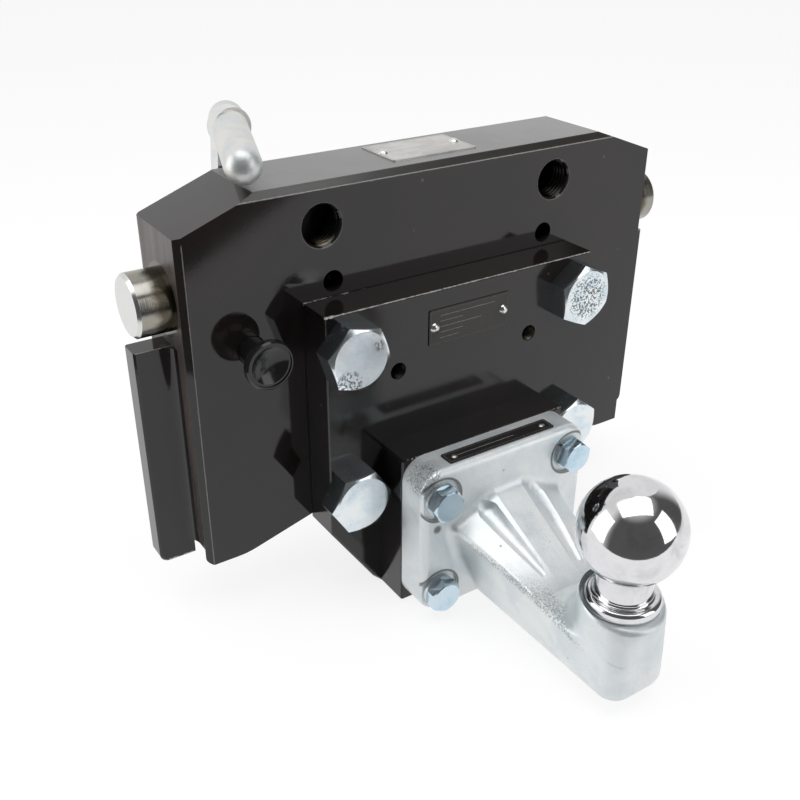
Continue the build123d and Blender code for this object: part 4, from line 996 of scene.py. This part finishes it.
class Maker:
    """Makes pieces out of bmeshes and puts them on a body."""

    @staticmethod
    def finish(bm: bmesh.types.BMesh, name: str, finish: Finish, body: str,
               slot: str, smooth: float = 40.0) -> bpy.types.Object:
        """Turns a bmesh into a piece that rides on a body.

        Args:
            bm: the mesh, in metres, in place. It is freed.
            name: the piece's name.
            finish: its finish.
            body: the CAD body that it rides on.
            slot: not used.
            smooth: up to how many degrees its faces are shaded smooth.

        Returns:
            The new piece.
        """
        bmesh.ops.remove_doubles(bm, verts=bm.verts, dist=WELD)
        bmesh.ops.recalc_face_normals(bm, faces=bm.faces)
        mesh = bpy.data.meshes.new(name)
        bm.to_mesh(mesh)
        bm.free()
        mesh.shade_smooth()
        mesh.set_sharp_from_angle(angle=math.radians(smooth))
        mesh.materials.append(finish.material())
        piece = bpy.data.objects.new(name, mesh)
        bpy.context.scene.collection.objects.link(piece)
        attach(piece, body)
        LOG.info("%s: %d faces on %s", name, len(mesh.polygons), body)
        return piece

    @staticmethod
    def slope(move: Callable[[Vector], Vector], point: Vector) -> Matrix:
        """Works out how a move stretches and turns what lies round a point.

        Args:
            move: gives the new place of a point.
            point: the point.

        Returns:
            The 3 by 3 matrix of the move's slopes.
        """
        step = 2.0 * WELD
        columns = []
        for axis in range(3):
            ahead, behind = point.copy(), point.copy()
            ahead[axis] += step
            behind[axis] -= step
            columns.append((move(ahead) - move(behind)) / (2.0 * step))
        return Matrix(columns).transposed()

    @staticmethod
    def reshaped(node: str, move: Callable[[Vector], Vector], finish: Finish, body: str,
                 slot: str) -> bpy.types.Object:
        """Replaces a CAD node by a merged copy whose points are moved, shading with them.

        Args:
            node: the CAD node's name.
            move: gives the new place of a point.
            finish: the copy's finish.
            body: the CAD body that it rides on.
            slot: handed on to Maker.finish.

        Returns:
            The piece that stands for the node.
        """
        source = frame["nodes"][node].data
        bm = bmesh.new()
        bm.from_mesh(source)
        drawn = bm.loops.layers.float_vector.new("drawn")
        for face, polygon in zip(bm.faces, source.polygons):
            face.material_index = 0
            for loop, corner in zip(face.loops, polygon.loop_indices):
                loop[drawn] = source.corner_normals[corner].vector
        bmesh.ops.remove_doubles(bm, verts=bm.verts, dist=WELD)
        for vert in bm.verts:
            turn = Maker.slope(move, vert.co).inverted().transposed()
            for loop in vert.link_loops:
                loop[drawn] = (turn @ loop[drawn]).normalized()
            vert.co = move(vert.co)
        piece = Maker.finish(bm, f"{node}_dressed", finish, body, slot)
        mesh = piece.data
        kept = [tuple(corner.vector) for corner in mesh.attributes["drawn"].data]
        mesh.attributes.remove(mesh.attributes["drawn"])
        mesh.normals_split_custom_set(kept)
        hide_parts(node)
        return piece


@dataclass(frozen=True)
class TappedPair:
    """The threads of two tapped holes along Y, left and right of the middle."""

    name: str
    x: float
    y: float
    z: float
    radius: float
    pitch: float
    turns: float
    steps: int = 36

    def wind(self, name: str, x: float, finish: Finish) -> bpy.types.Object:
        """Winds one thread's ridge up its hole's wall.

        Args:
            name: the thread's name.
            x: where its axis is.
            finish: the ridge's finish.

        Returns:
            The thread.
        """
        bm = bmesh.new()
        depth = 0.4 * self.pitch
        wall = self.radius + 0.03 * MM
        section = [
            bm.verts.new((wall, -0.44 * self.pitch, 0.0)),
            bm.verts.new((wall - depth, -0.07 * self.pitch, 0.0)),
            bm.verts.new((wall - depth, 0.07 * self.pitch, 0.0)),
            bm.verts.new((wall, 0.44 * self.pitch, 0.0)),
        ]
        face = bm.faces.new(section)
        count = int(self.turns * self.steps)
        bmesh.ops.spin(
            bm, geom=[face, *face.edges, *face.verts], cent=(0.0, 0.0, 0.0),
            axis=(0.0, 1.0, 0.0), dvec=(0.0, self.pitch / self.steps, 0.0),
            angle=2.0 * math.pi * self.turns, steps=count)
        for vert in bm.verts:
            lead = vert.co.y / self.pitch + 0.5
            tail = self.turns - lead
            ease = max(0.0, min(1.0, 1.6 * lead, 1.6 * tail + 0.5))
            radius = math.hypot(vert.co.x, vert.co.z)
            scale = (wall + (radius - wall) * ease) / radius
            vert.co.x *= scale
            vert.co.z *= scale
        bmesh.ops.translate(bm, verts=bm.verts, vec=(x, self.y, self.z))
        return Maker.finish(bm, name, finish, "carriage", "bare_steel", 60.0)

    def build(self) -> None:
        """Winds both threads."""
        steel = TurnedSteel("oiled thread steel", (0.03, 0.029, 0.027, 1.0), 0.32, Axis.Y)
        for x, side in ((-self.x, "left"), (self.x, "right")):
            self.wind(f"{side}_{self.name}", x, steel)


# Sub-assemblies

@dataclass
class SubAssembly:
    """A group of CAD nodes that one class dresses."""

    def build(self) -> None:
        """Makes the pieces that the solids leave to the looks."""

    def dress(self) -> None:
        """Gives the CAD nodes their finishes."""
        raise NotImplementedError

    @staticmethod
    def cover(finish: Finish, *nodes: str) -> None:
        """Gives CAD nodes a finish in every one of their material slots.

        Args:
            finish: the finish.
            nodes: the nodes' names.
        """
        for name in nodes:
            node = frame["nodes"][name]
            for held in node.material_slots:
                held.link = "OBJECT"
                held.material = finish.material()
            LOG.info("%s takes %s", name, finish.name)


@dataclass
class Carriage(SubAssembly):
    """The painted block with its guide bars and tapped holes."""

    paint: Colour = (0.0105, 0.0095, 0.0094, 1.0)
    top: float = 130.9 * MM
    bevel: float = 3.2 * MM
    side_bevel: float = 3.0 * MM
    plate_shoulder: float = -47.0 * MM
    hole_x: float = 70.0 * MM
    hole_z: float = 110.5 * MM
    hole_radius: float = 10.0 * MM
    low_hole_x: float = 65.0 * MM
    low_hole_radius: float = 5.4 * MM
    bar_front: float = 162.2 * MM
    bar_top: float = 61.6 * MM
    bar_bottom: float = -56.8 * MM

    def finish(self) -> GlossPaint:
        """Gives the block's paint with its worn places."""
        half = self.side_bevel / 2.0
        return GlossPaint(
            "glossy black paint", self.paint, 0.07,
            (
                PaleTop(level=self.top, colour=(0.15, 0.147, 0.149, 1.0), rough=0.14),
                # Painted highlight: the top bevel is painted paler.
                BevelHighlight(front=BLOCK_FRONT, top=self.top, size=self.bevel,
                            colour=(0.045, 0.044, 0.042, 1.0), rough=0.12),
                # Painted reflections: paler brownish streaks on the side faces.
                ReflectionStreakedSides(half_width=BLOCK_SIDE, colour=(0.088, 0.07, 0.065, 1.0),
                              rough=0.4),
                # Painted highlight: a thin pale line along the bevel's lower edge.
                WornEdge(front=BLOCK_FRONT, level=self.top - self.bevel, width=0.3 * MM,
                         strength=0.75, ragged=0.25),
                WornEdge(front=BLOCK_FRONT + half, across=Axis.X, level=BLOCK_SIDE - half,
                         width=0.9 * MM, breaks=0.52, along=Axis.Z, low=70.0 * MM,
                         high=118.0 * MM),
                WornEdge(front=BLOCK_FRONT, across=Axis.X, level=self.side_bevel - BLOCK_SIDE,
                         width=0.25 * MM, ragged=0.2, strength=0.5, along=Axis.Z,
                         low=-70.0 * MM, high=115.0 * MM),
                WornEdge(front=self.bar_front, level=self.bar_top, width=0.4 * MM,
                         strength=0.8, ragged=0.3),
                # Painted shade inside the upper and lower holes.
                ShadedBores(x=self.hole_x, z=self.hole_z, radius=self.hole_radius,
                          mouth=BLOCK_FRONT + 1.0 * MM, rough=0.4),
                # Painted highlight rings at the upper holes' mouths.
                MouthHighlightRings(x=self.hole_x, z=self.hole_z, radius=self.hole_radius + 0.9 * MM,
                           mouth=BLOCK_FRONT + 1.0 * MM, colour=(0.2, 0.2, 0.2, 1.0),
                           strength=0.8),
                ShadedBores(x=self.low_hole_x, z=PIN_HEIGHT,
                          radius=self.low_hole_radius, mouth=BLOCK_FRONT + 0.1 * MM, rough=0.5),
                Seam(half_width=PLATE_SIDE, bottom=self.plate_shoulder,
                     top=PLATE_TOP, face=BLOCK_FRONT, rough=0.5),
                WornEdge(front=self.bar_front, level=self.bar_bottom, width=1.3 * MM, breaks=0.42),
            ),
        )

    def build(self) -> None:
        """Makes the threads of the upper holes."""
        TappedPair("upper_hole_thread", self.hole_x, BLOCK_FRONT + 1.9 * MM, self.hole_z,
                   self.hole_radius, pitch=2.5 * MM, turns=5.2).build()

    def dress(self) -> None:
        """Paints the block and its bars."""
        self.cover(
            self.finish(), "carriage_body", "left_guide_bar", "right_guide_bar", "plunger_cap")


@dataclass
class IntermediatePlate(SubAssembly):
    """The bolted plate with the block that is welded to it."""

    paint: Colour = (0.0088, 0.0084, 0.0082, 1.0)
    front: float = 124.2 * MM
    stand_front: float = 104.2 * MM
    stand_top: float = -1.7 * MM
    hole_x: float = 41.5 * MM
    hole_z: float = 36.9 * MM
    hole_radius: float = 4.5 * MM

    def finish(self) -> GlossPaint:
        """Gives the plate's paint, which is worn along its edges."""
        return GlossPaint(
            "worn black paint", self.paint, 0.12,
            (
                WornEdge(front=self.front, level=PLATE_TOP, width=0.62 * MM, ragged=0.22,
                         rough=0.1, sunk=0.3),
                WornEdge(front=self.front, level=PLATE_TOP, width=1.0 * MM, ragged=0.5,
                         high=-76.0 * MM, sunk=0.3),
                WornEdge(front=BLOCK_FRONT, level=PLATE_TOP, width=0.5 * MM, breaks=0.7),
                WornEdge(front=BLOCK_FRONT, level=PLATE_TOP, width=1.1 * MM, breaks=0.44,
                         ragged=1.2, high=-56.0 * MM),
                # Painted highlights: thin pale lines where the plate's rounded side edges catch
                # light.
                WornEdge(front=self.front, across=Axis.X, level=PLATE_SIDE,
                         width=0.56 * MM, ragged=0.2, strength=0.3, sunk=0.2),
                WornEdge(front=self.front, across=Axis.X, level=-PLATE_SIDE,
                         width=0.6 * MM, ragged=0.2, strength=0.12, sunk=0.1),
                WornEdge(front=self.stand_front, level=self.stand_top, width=0.6 * MM,
                         breaks=0.4, strength=0.5),
                # Painted shade inside the accessory holes.
                ShadedBores(x=self.hole_x, z=self.hole_z, radius=self.hole_radius,
                          mouth=self.front + 0.1 * MM, rough=0.5),
            ),
        )

    def build(self) -> None:
        """Makes the threads of the accessory holes."""
        TappedPair("accessory_hole_thread", self.hole_x, self.front + 1.0 * MM, self.hole_z,
                   self.hole_radius, pitch=1.25 * MM, turns=8.0).build()

    def dress(self) -> None:
        """Paints the plate and its block."""
        self.cover(self.finish(), "intermediate_plate", "stand_off_block")


@dataclass
class Bracket(SubAssembly):
    """The cast ball bracket with its ball."""

    zinc: Colour = (0.85, 0.875, 0.88, 1.0)
    chrome: Colour = (0.74, 0.74, 0.755, 1.0)
    nose_half: float = 20.5 * MM
    left_corner: float = 9.0 * MM
    right_corner: float = 17.0 * MM
    nose_top: float = -42.0 * MM
    nose_height: float = 28.0 * MM
    seat_radius: float = 19.85 * MM
    bore_radius: float = 14.2 * MM
    nose_middle: float = -60.0 * MM
    lower_run: float = 4.8 * MM

    def casting(self) -> CastZinc:
        """Gives the bracket's zinc."""
        return CastZinc("galvanised casting", self.zinc, 0.42)

    def square_reach(self, x: float, y: float) -> float:
        """Measures from the nose's axis to its rounded square outline.

        Args:
            x: the direction's share to the right.
            y: its share to the front or back.

        Returns:
            The distance in metres.
        """
        corner = self.left_corner if x < 0.0 else self.right_corner
        flat = self.nose_half - corner
        far = math.hypot(x, y)
        across, along = abs(x) / far, abs(y) / far
        if along * self.nose_half <= across * flat:
            return self.nose_half / across
        if across * self.nose_half <= along * flat:
            return self.nose_half / along
        middle = flat * (across + along)
        return middle + math.sqrt(middle**2 - 2.0 * flat**2 + corner**2)

    def square_nose(self, point: Vector) -> Vector:
        """Moves a point of the round nose out to the squarer outline.

        Args:
            point: the point.

        Returns:
            Its new place.
        """
        far = math.hypot(point.x, point.y)
        if point.y >= 0.0 or far < self.bore_radius:
            return point.copy()
        if point.z > self.nose_middle:
            inner, run = self.seat_radius, self.nose_half - self.seat_radius
        else:
            inner, run = self.bore_radius, self.lower_run
        share = max(0.0, min(1.0, (far - inner) / run))
        share *= max(0.0, min(1.0, (self.nose_top - point.z) / self.nose_height))
        scale = 1.0 + share * (self.square_reach(point.x, point.y) / self.nose_half - 1.0)
        return Vector((point.x * scale, point.y * scale, point.z))

    def build(self) -> None:
        """Casts the bracket with its squarer nose."""
        Maker.reshaped(
            "ball_bracket", self.square_nose, self.casting(), "carriage", "zinc_casting")

    def dress(self) -> None:
        """Plates the bracket's solid and polishes the ball."""
        self.cover(self.casting(), "ball_bracket")
        self.cover(
            TurnedSteel("polished ball", self.chrome, 0.07, Axis.Z,
                        (0.4, 0.38, 0.34, 1.0), 0.12, 0.004 * MM),
            "tow_ball")


@dataclass
class Fasteners(SubAssembly):
    """Bolts, washers, nut and rivets."""

    zinc: Colour = (0.80, 0.835, 0.85, 1.0)
    bolt_x: float = 70.0 * MM
    bolt_z: float = 40.0 * MM
    bolt_middle: float = 15.5 * MM
    bolt_face: float = 111.7 * MM
    turns: tuple[float, ...] = (-12.0, 22.0, 0.0, 0.0)

    def turned_bolt(self, point: Vector) -> Vector:
        """Turns a point of a big bolt about its axis, to where its head came to rest.

        Args:
            point: the point.

        Returns:
            Its new place.
        """
        right, low = point.x > 0.0, point.z < self.bolt_middle
        angle = math.radians(self.turns[int(right) + 2 * int(low)])
        x = self.bolt_x if right else -self.bolt_x
        z = self.bolt_middle + (-self.bolt_z if low else self.bolt_z)
        across, up = point.x - x, point.z - z
        level, tilt = math.cos(angle), math.sin(angle)
        return Vector((x + across * level - up * tilt, point.y, z + across * tilt + up * level))

    def plating(self) -> PlatedZinc:
        """Gives the big bolts' zinc with the places that are pitted."""
        left, right = -self.bolt_x, self.bolt_x
        high = self.bolt_middle + self.bolt_z
        return PlatedZinc(
            "bright zinc bolts", self.zinc, 0.2, metallic=0.97,
            spots=(
                ((left - 7.0 * MM, self.bolt_face, high - 11.0 * MM), 8.5 * MM),
                ((left + 9.5 * MM, self.bolt_face, high + 5.0 * MM), 3.5 * MM),
                ((right, self.bolt_face, high), 15.0 * MM),
            ),
            grains=1.05 * MM, dull=(self.bolt_face + 1.5 * MM, self.bolt_face + 12.5 * MM))

    def build(self) -> None:
        """Turns the big bolts."""
        Maker.reshaped("plate_bolts", self.turned_bolt, self.plating(), "carriage", "zinc_bolt")

    def dress(self) -> None:
        """Plates the fasteners."""
        self.cover(self.plating(), "plate_bolts", "hub_nut", "hub_washer")
        self.cover(
            PlatedZinc("bluish zinc bolts", (0.62, 0.74, 0.82, 1.0), 0.18, metallic=0.95),
            "flange_bolts")
        self.cover(
            PlatedZinc("zinc washers", (0.66, 0.69, 0.7, 1.0), 0.24),
            "flange_spring_washers")
        self.cover(
            TurnedSteel("bright rivet metal", (0.72, 0.72, 0.71, 1.0), 0.22, Axis.Y, stains=0.15),
            "top_tag_rivets", "front_tag_rivets")
        self.cover(
            TurnedSteel("dull rivet metal", (0.36, 0.355, 0.34, 1.0), 0.3, Axis.Y),
            "flange_tag_rivets")


@dataclass(frozen=True)
class Spring:
    """A coil spring, copied from its CAD node."""

    node: str
    joint: str
    axis: Axis
    stroke: float
    held: float = 0.5

    def build(self, finish: Finish) -> bpy.types.Object:
        """Makes the spring as a merged copy of its CAD node.

        Args:
            finish: the spring's finish.

        Returns:
            The spring.
        """
        low, high = (Vector(corner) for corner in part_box(self.node))
        piece = Maker.reshaped(self.node, Vector.copy, finish, "carriage", "spring_steel")
        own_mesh(piece)
        return piece


@dataclass
class Mechanism(SubAssembly):
    """Lever, shaft, pins, springs and release knob."""

    steel: Colour = (0.50, 0.485, 0.44, 1.0)
    pin_y: float = 168.2 * MM
    pin_start: float = 141.4 * MM
    pin_reach: float = 17.65 * MM
    pin_share: float = 15.2 / 17.5
    eye_x: float = -89.33 * MM
    eye_z: float = 147.93 * MM
    eye_reach: float = 12.0 * MM
    eye_share: float = 0.83
    grip_front: Point = (-104.7 * MM, 151.0 * MM, 142.5 * MM)
    pin_stroke: float = 16.5 * MM
    knob_stroke: float = 6.0 * MM

    def slim_end(self, point: Vector) -> Vector:
        """Thins the end of a pin that stands out of the block.

        Args:
            point: the point.

        Returns:
            Its new place.
        """
        along, up = point.y - self.pin_y, point.z - PIN_HEIGHT
        if abs(point.x) < self.pin_start or math.hypot(along, up) > self.pin_reach:
            return point.copy()
        return Vector((point.x, self.pin_y + along * self.pin_share,
                       PIN_HEIGHT + up * self.pin_share))

    def narrow_eye(self, point: Vector) -> Vector:
        """Draws the lever's eye in round the rod.

        Args:
            point: the point.

        Returns:
            Its new place.
        """
        across, up = point.x - self.eye_x, point.z - self.eye_z
        if math.hypot(across, up) > self.eye_reach:
            return point.copy()
        return Vector((self.eye_x + across * self.eye_share, point.y,
                       self.eye_z + up * self.eye_share))

    def plate_finish(self) -> PlatedZinc:
        """Gives the lever plate's zinc."""
        return PlatedZinc("satin zinc lever", (0.78, 0.765, 0.75, 1.0), 0.3, pitting=0.15,
                          scale=60.0)

    def pin_finish(self) -> GreasedSteel:
        """Gives the locking pins' steel."""
        return GreasedSteel("bare pin steel", (0.33, 0.32, 0.29, 1.0), 0.2, Axis.X)

    def spring_finish(self) -> TurnedSteel:
        """Gives the springs' steel."""
        return TurnedSteel("spring steel", (0.3, 0.3, 0.31, 1.0), 0.25, Axis.X)

    def build(self) -> None:
        """Makes the slimmer pin ends, the narrow eye and the springs."""
        coil = self.spring_finish()
        both = 2.0 * self.pin_stroke
        for side in ("left", "right"):
            Spring(f"{side}_return_spring", "lever_turn", Axis.X, both).build(coil)
        Spring("release_spring", "knob_push", Axis.Y, self.knob_stroke, 1.0).build(coil)
        for side in ("left", "right"):
            Maker.reshaped(f"{side}_locking_pin", self.slim_end, self.pin_finish(),
                           f"{side}_pin", "bare_steel")
        Maker.reshaped("lever_plate", self.narrow_eye, self.plate_finish(), "lever", "zinc_lever")

    def dress(self) -> None:
        """Finishes the moving pieces."""
        self.cover(self.pin_finish(), "left_locking_pin", "right_locking_pin")
        self.cover(
            TurnedSteel("bare shaft steel", self.steel, 0.24, Axis.Y),
            "pinion_shaft", "release_plunger", "lever_stop_pin")
        self.cover(
            self.spring_finish(), "left_return_spring", "right_return_spring", "release_spring")
        self.cover(
            TurnedSteel("bearing bronze", (0.5, 0.34, 0.16, 1.0), 0.28, Axis.Y,
                        (0.25, 0.15, 0.07, 1.0)),
            "shaft_bush")
        self.cover(self.plate_finish(), "lever_plate")
        self.cover(
            PlatedZinc("satin zinc grip", (0.74, 0.72, 0.69, 1.0), 0.42, pitting=0.1,
                       # Painted reflection: the grip's front end is speckled dark.
                       scale=60.0, metallic=0.7, spots=((self.grip_front, 4.6 * MM),)),
            "lever_grip")
        self.cover(
            MouldedPlastic("black knob plastic", (0.011, 0.011, 0.012, 1.0), 0.14),
            "release_knob")


@dataclass
class Tags(SubAssembly):
    """The three blank identification plates."""

    def dress(self) -> None:
        """Gives each plate its border and empty lines."""
        self.cover(
            BlankPlate("silver blank tag", (0.62, 0.61, 0.59, 1.0), 0.34,
                       centre=(1.5 * MM, 171.5 * MM, 0.0)),
            "top_tag")
        self.cover(
            BlankPlate("black blank tag", (0.018, 0.0145, 0.0125, 1.0), 0.26,
                       ink=(0.3, 0.28, 0.25, 1.0), centre=(1.3 * MM, 0.0, 55.0 * MM),
                       along=Axis.Z, half_height=9.7 * MM, pitch=1.5 * MM, border=0.15,
                       metallic=0.0),
            "front_tag")
        self.cover(
            BlankPlate("black strip tag", (0.014, 0.013, 0.013, 1.0), 0.26,
                       ink=(0.45, 0.43, 0.4, 1.0), centre=(0.0, 94.0 * MM, 0.0),
                       half_width=33.5 * MM, half_height=4.6 * MM, pitch=1.5 * MM,
                       border=0.3, metallic=0.0),
            "flange_tag")


# Studio

@dataclass(frozen=True)
class SoftBox:
    """A rectangular lamp that faces the object."""

    name: str
    place: Point
    width: float
    height: float
    radiance: float
    target: Point = (0.0, 0.06, 0.02)

    def build(self) -> None:
        """Hangs the lamp."""
        lamp = bpy.data.lights.new(self.name, "AREA")
        lamp.shape = "RECTANGLE"
        lamp.size = self.width
        lamp.size_y = self.height
        lamp.energy = self.radiance * math.pi * self.width * self.height
        holder = bpy.data.objects.new(self.name, lamp)
        holder.location = self.place
        aim = Vector(self.target) - Vector(self.place)
        holder.rotation_euler = aim.to_track_quat("-Z", "Y").to_euler()
        holder.visible_camera = False
        bpy.context.scene.collection.objects.link(holder)


@dataclass
class Studio:
    """Camera, floor, backdrop light and lamps."""

    eye: Point = (-0.282393, -0.241112, 0.259711)
    azimuth: float = -33.5132
    elevation: float = 28.6497
    roll: float = 0.3176
    lens: float = 44.764
    sensor: float = 36.0
    floor_z: float = -89.4 * MM
    floor_half: float = 12.0
    floor_end: float = -0.2883
    floor_inward: Point = (0.64, 0.77, 0.0)
    floor_grey: float = 0.8
    floor_shadow: float = 0.22
    floor_glow: float = 0.82

    def camera(self) -> None:
        """Puts the camera where the photograph was taken from."""
        a, e, r = (math.radians(v) for v in (self.azimuth, self.elevation, self.roll))
        back = Vector((math.sin(a) * math.cos(e), -math.cos(a) * math.cos(e), math.sin(e)))
        right = Vector((math.cos(a), math.sin(a), 0.0))
        up = back.cross(right)
        level, tilt = math.cos(r), math.sin(r)
        right, up = right * level + up * tilt, up * level - right * tilt
        data = bpy.data.cameras.new("camera")
        data.lens = self.lens
        data.sensor_width = self.sensor
        data.clip_start = 0.01
        camera = bpy.data.objects.new("camera", data)
        turn = Matrix((right, up, back)).transposed().to_4x4()
        camera.matrix_world = Matrix.Translation(self.eye) @ turn
        bpy.context.scene.collection.objects.link(camera)
        bpy.context.scene.camera = camera

    def floor(self) -> None:
        """Lays a white floor that keeps a soft shadow."""
        bm = bmesh.new()
        bmesh.ops.create_grid(bm, x_segments=1, y_segments=1, size=self.floor_half)
        bmesh.ops.translate(bm, verts=bm.verts, vec=(0.0, 0.0, self.floor_z))
        bmesh.ops.bisect_plane(
            bm, geom=[*bm.verts, *bm.edges, *bm.faces],
            plane_co=(0.0, self.floor_end, self.floor_z), plane_no=self.floor_inward,
            clear_inner=True)
        mesh = bpy.data.meshes.new("floor")
        bm.to_mesh(mesh)
        bm.free()
        floor = bpy.data.objects.new("floor", mesh)
        bpy.context.scene.collection.objects.link(floor)
        material = bpy.data.materials.new("white floor")
        material.use_nodes = True
        tree = Tree(material.node_tree)
        end = tree.node("ShaderNodeOutputMaterial")
        plain = tree.node("ShaderNodeBsdfDiffuse")
        plain.inputs["Color"].default_value = shaded(WHITE, self.floor_grey)
        faint = tree.node("ShaderNodeBsdfDiffuse")
        faint.inputs["Color"].default_value = shaded(WHITE, self.floor_shadow)
        white = tree.node("ShaderNodeEmission")
        white.inputs["Strength"].default_value = self.floor_glow
        both = tree.node("ShaderNodeAddShader")
        tree.feed(both.inputs[0], faint.outputs[0])
        tree.feed(both.inputs[1], white.outputs[0])
        path = tree.node("ShaderNodeLightPath")
        rays = ("Is Camera Ray", "Is Glossy Ray", "Is Transmission Ray")
        seen = tree.larger(*(path.outputs[ray] for ray in rays))
        tree.feed(end.inputs["Surface"], tree.either(seen, plain, both))
        mesh.materials.append(material)

    def backdrop(self) -> None:
        """Makes the world: white where it is seen, with a dim side behind the camera."""
        world = bpy.data.worlds.new("studio")
        world.use_nodes = True
        bpy.context.scene.world = world
        tree = Tree(world.node_tree)
        end = tree.node("ShaderNodeOutputWorld")
        direction = tree.node("ShaderNodeTexCoord").outputs["Generated"]
        _, y, z = tree.parts(direction)
        behind = tree.step(y, -0.1, 0.35)
        above = tree.step(z, 0.72, 0.95, 0.0, 0.55)
        level = tree.fused(tree.larger(behind, above), 0.82, 0.1)
        path = tree.node("ShaderNodeLightPath")
        light = tree.node("ShaderNodeBackground")
        tree.feed(light.inputs["Strength"], level)
        white = tree.node("ShaderNodeBackground")
        for shader in (light, white):
            shader.inputs["Color"].default_value = WHITE
        seen = path.outputs["Is Camera Ray"]
        tree.feed(end.inputs["Surface"], tree.either(seen, light, white))

    def build(self) -> None:
        """Sets up the whole studio."""
        self.camera()
        self.floor()
        self.backdrop()
        for box in (
            SoftBox("top softbox", (-0.09, -0.1, 1.25), 1.45, 0.85, 1.9),
            SoftBox("left softbox", (-1.05, 0.49, 0.31), 0.75, 1.1, 1.5),
            SoftBox("right softbox", (0.62, -0.94, 0.47), 0.72, 1.02, 1.8),
        ):
            box.build()
        scene = bpy.context.scene
        scene.view_settings.view_transform = "Standard"
        LOG.info("studio is set up")


def main() -> None:
    """Builds and dresses the hitch."""
    logging.basicConfig(level=logging.INFO, format="%(message)s")
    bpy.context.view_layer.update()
    Studio().build()
    for group in (
        Carriage(), IntermediatePlate(), Bracket(), Fasteners(), Mechanism(), Tags(),
    ):
        group.build()
        group.dress()


if __name__ == "__main__":
    main()
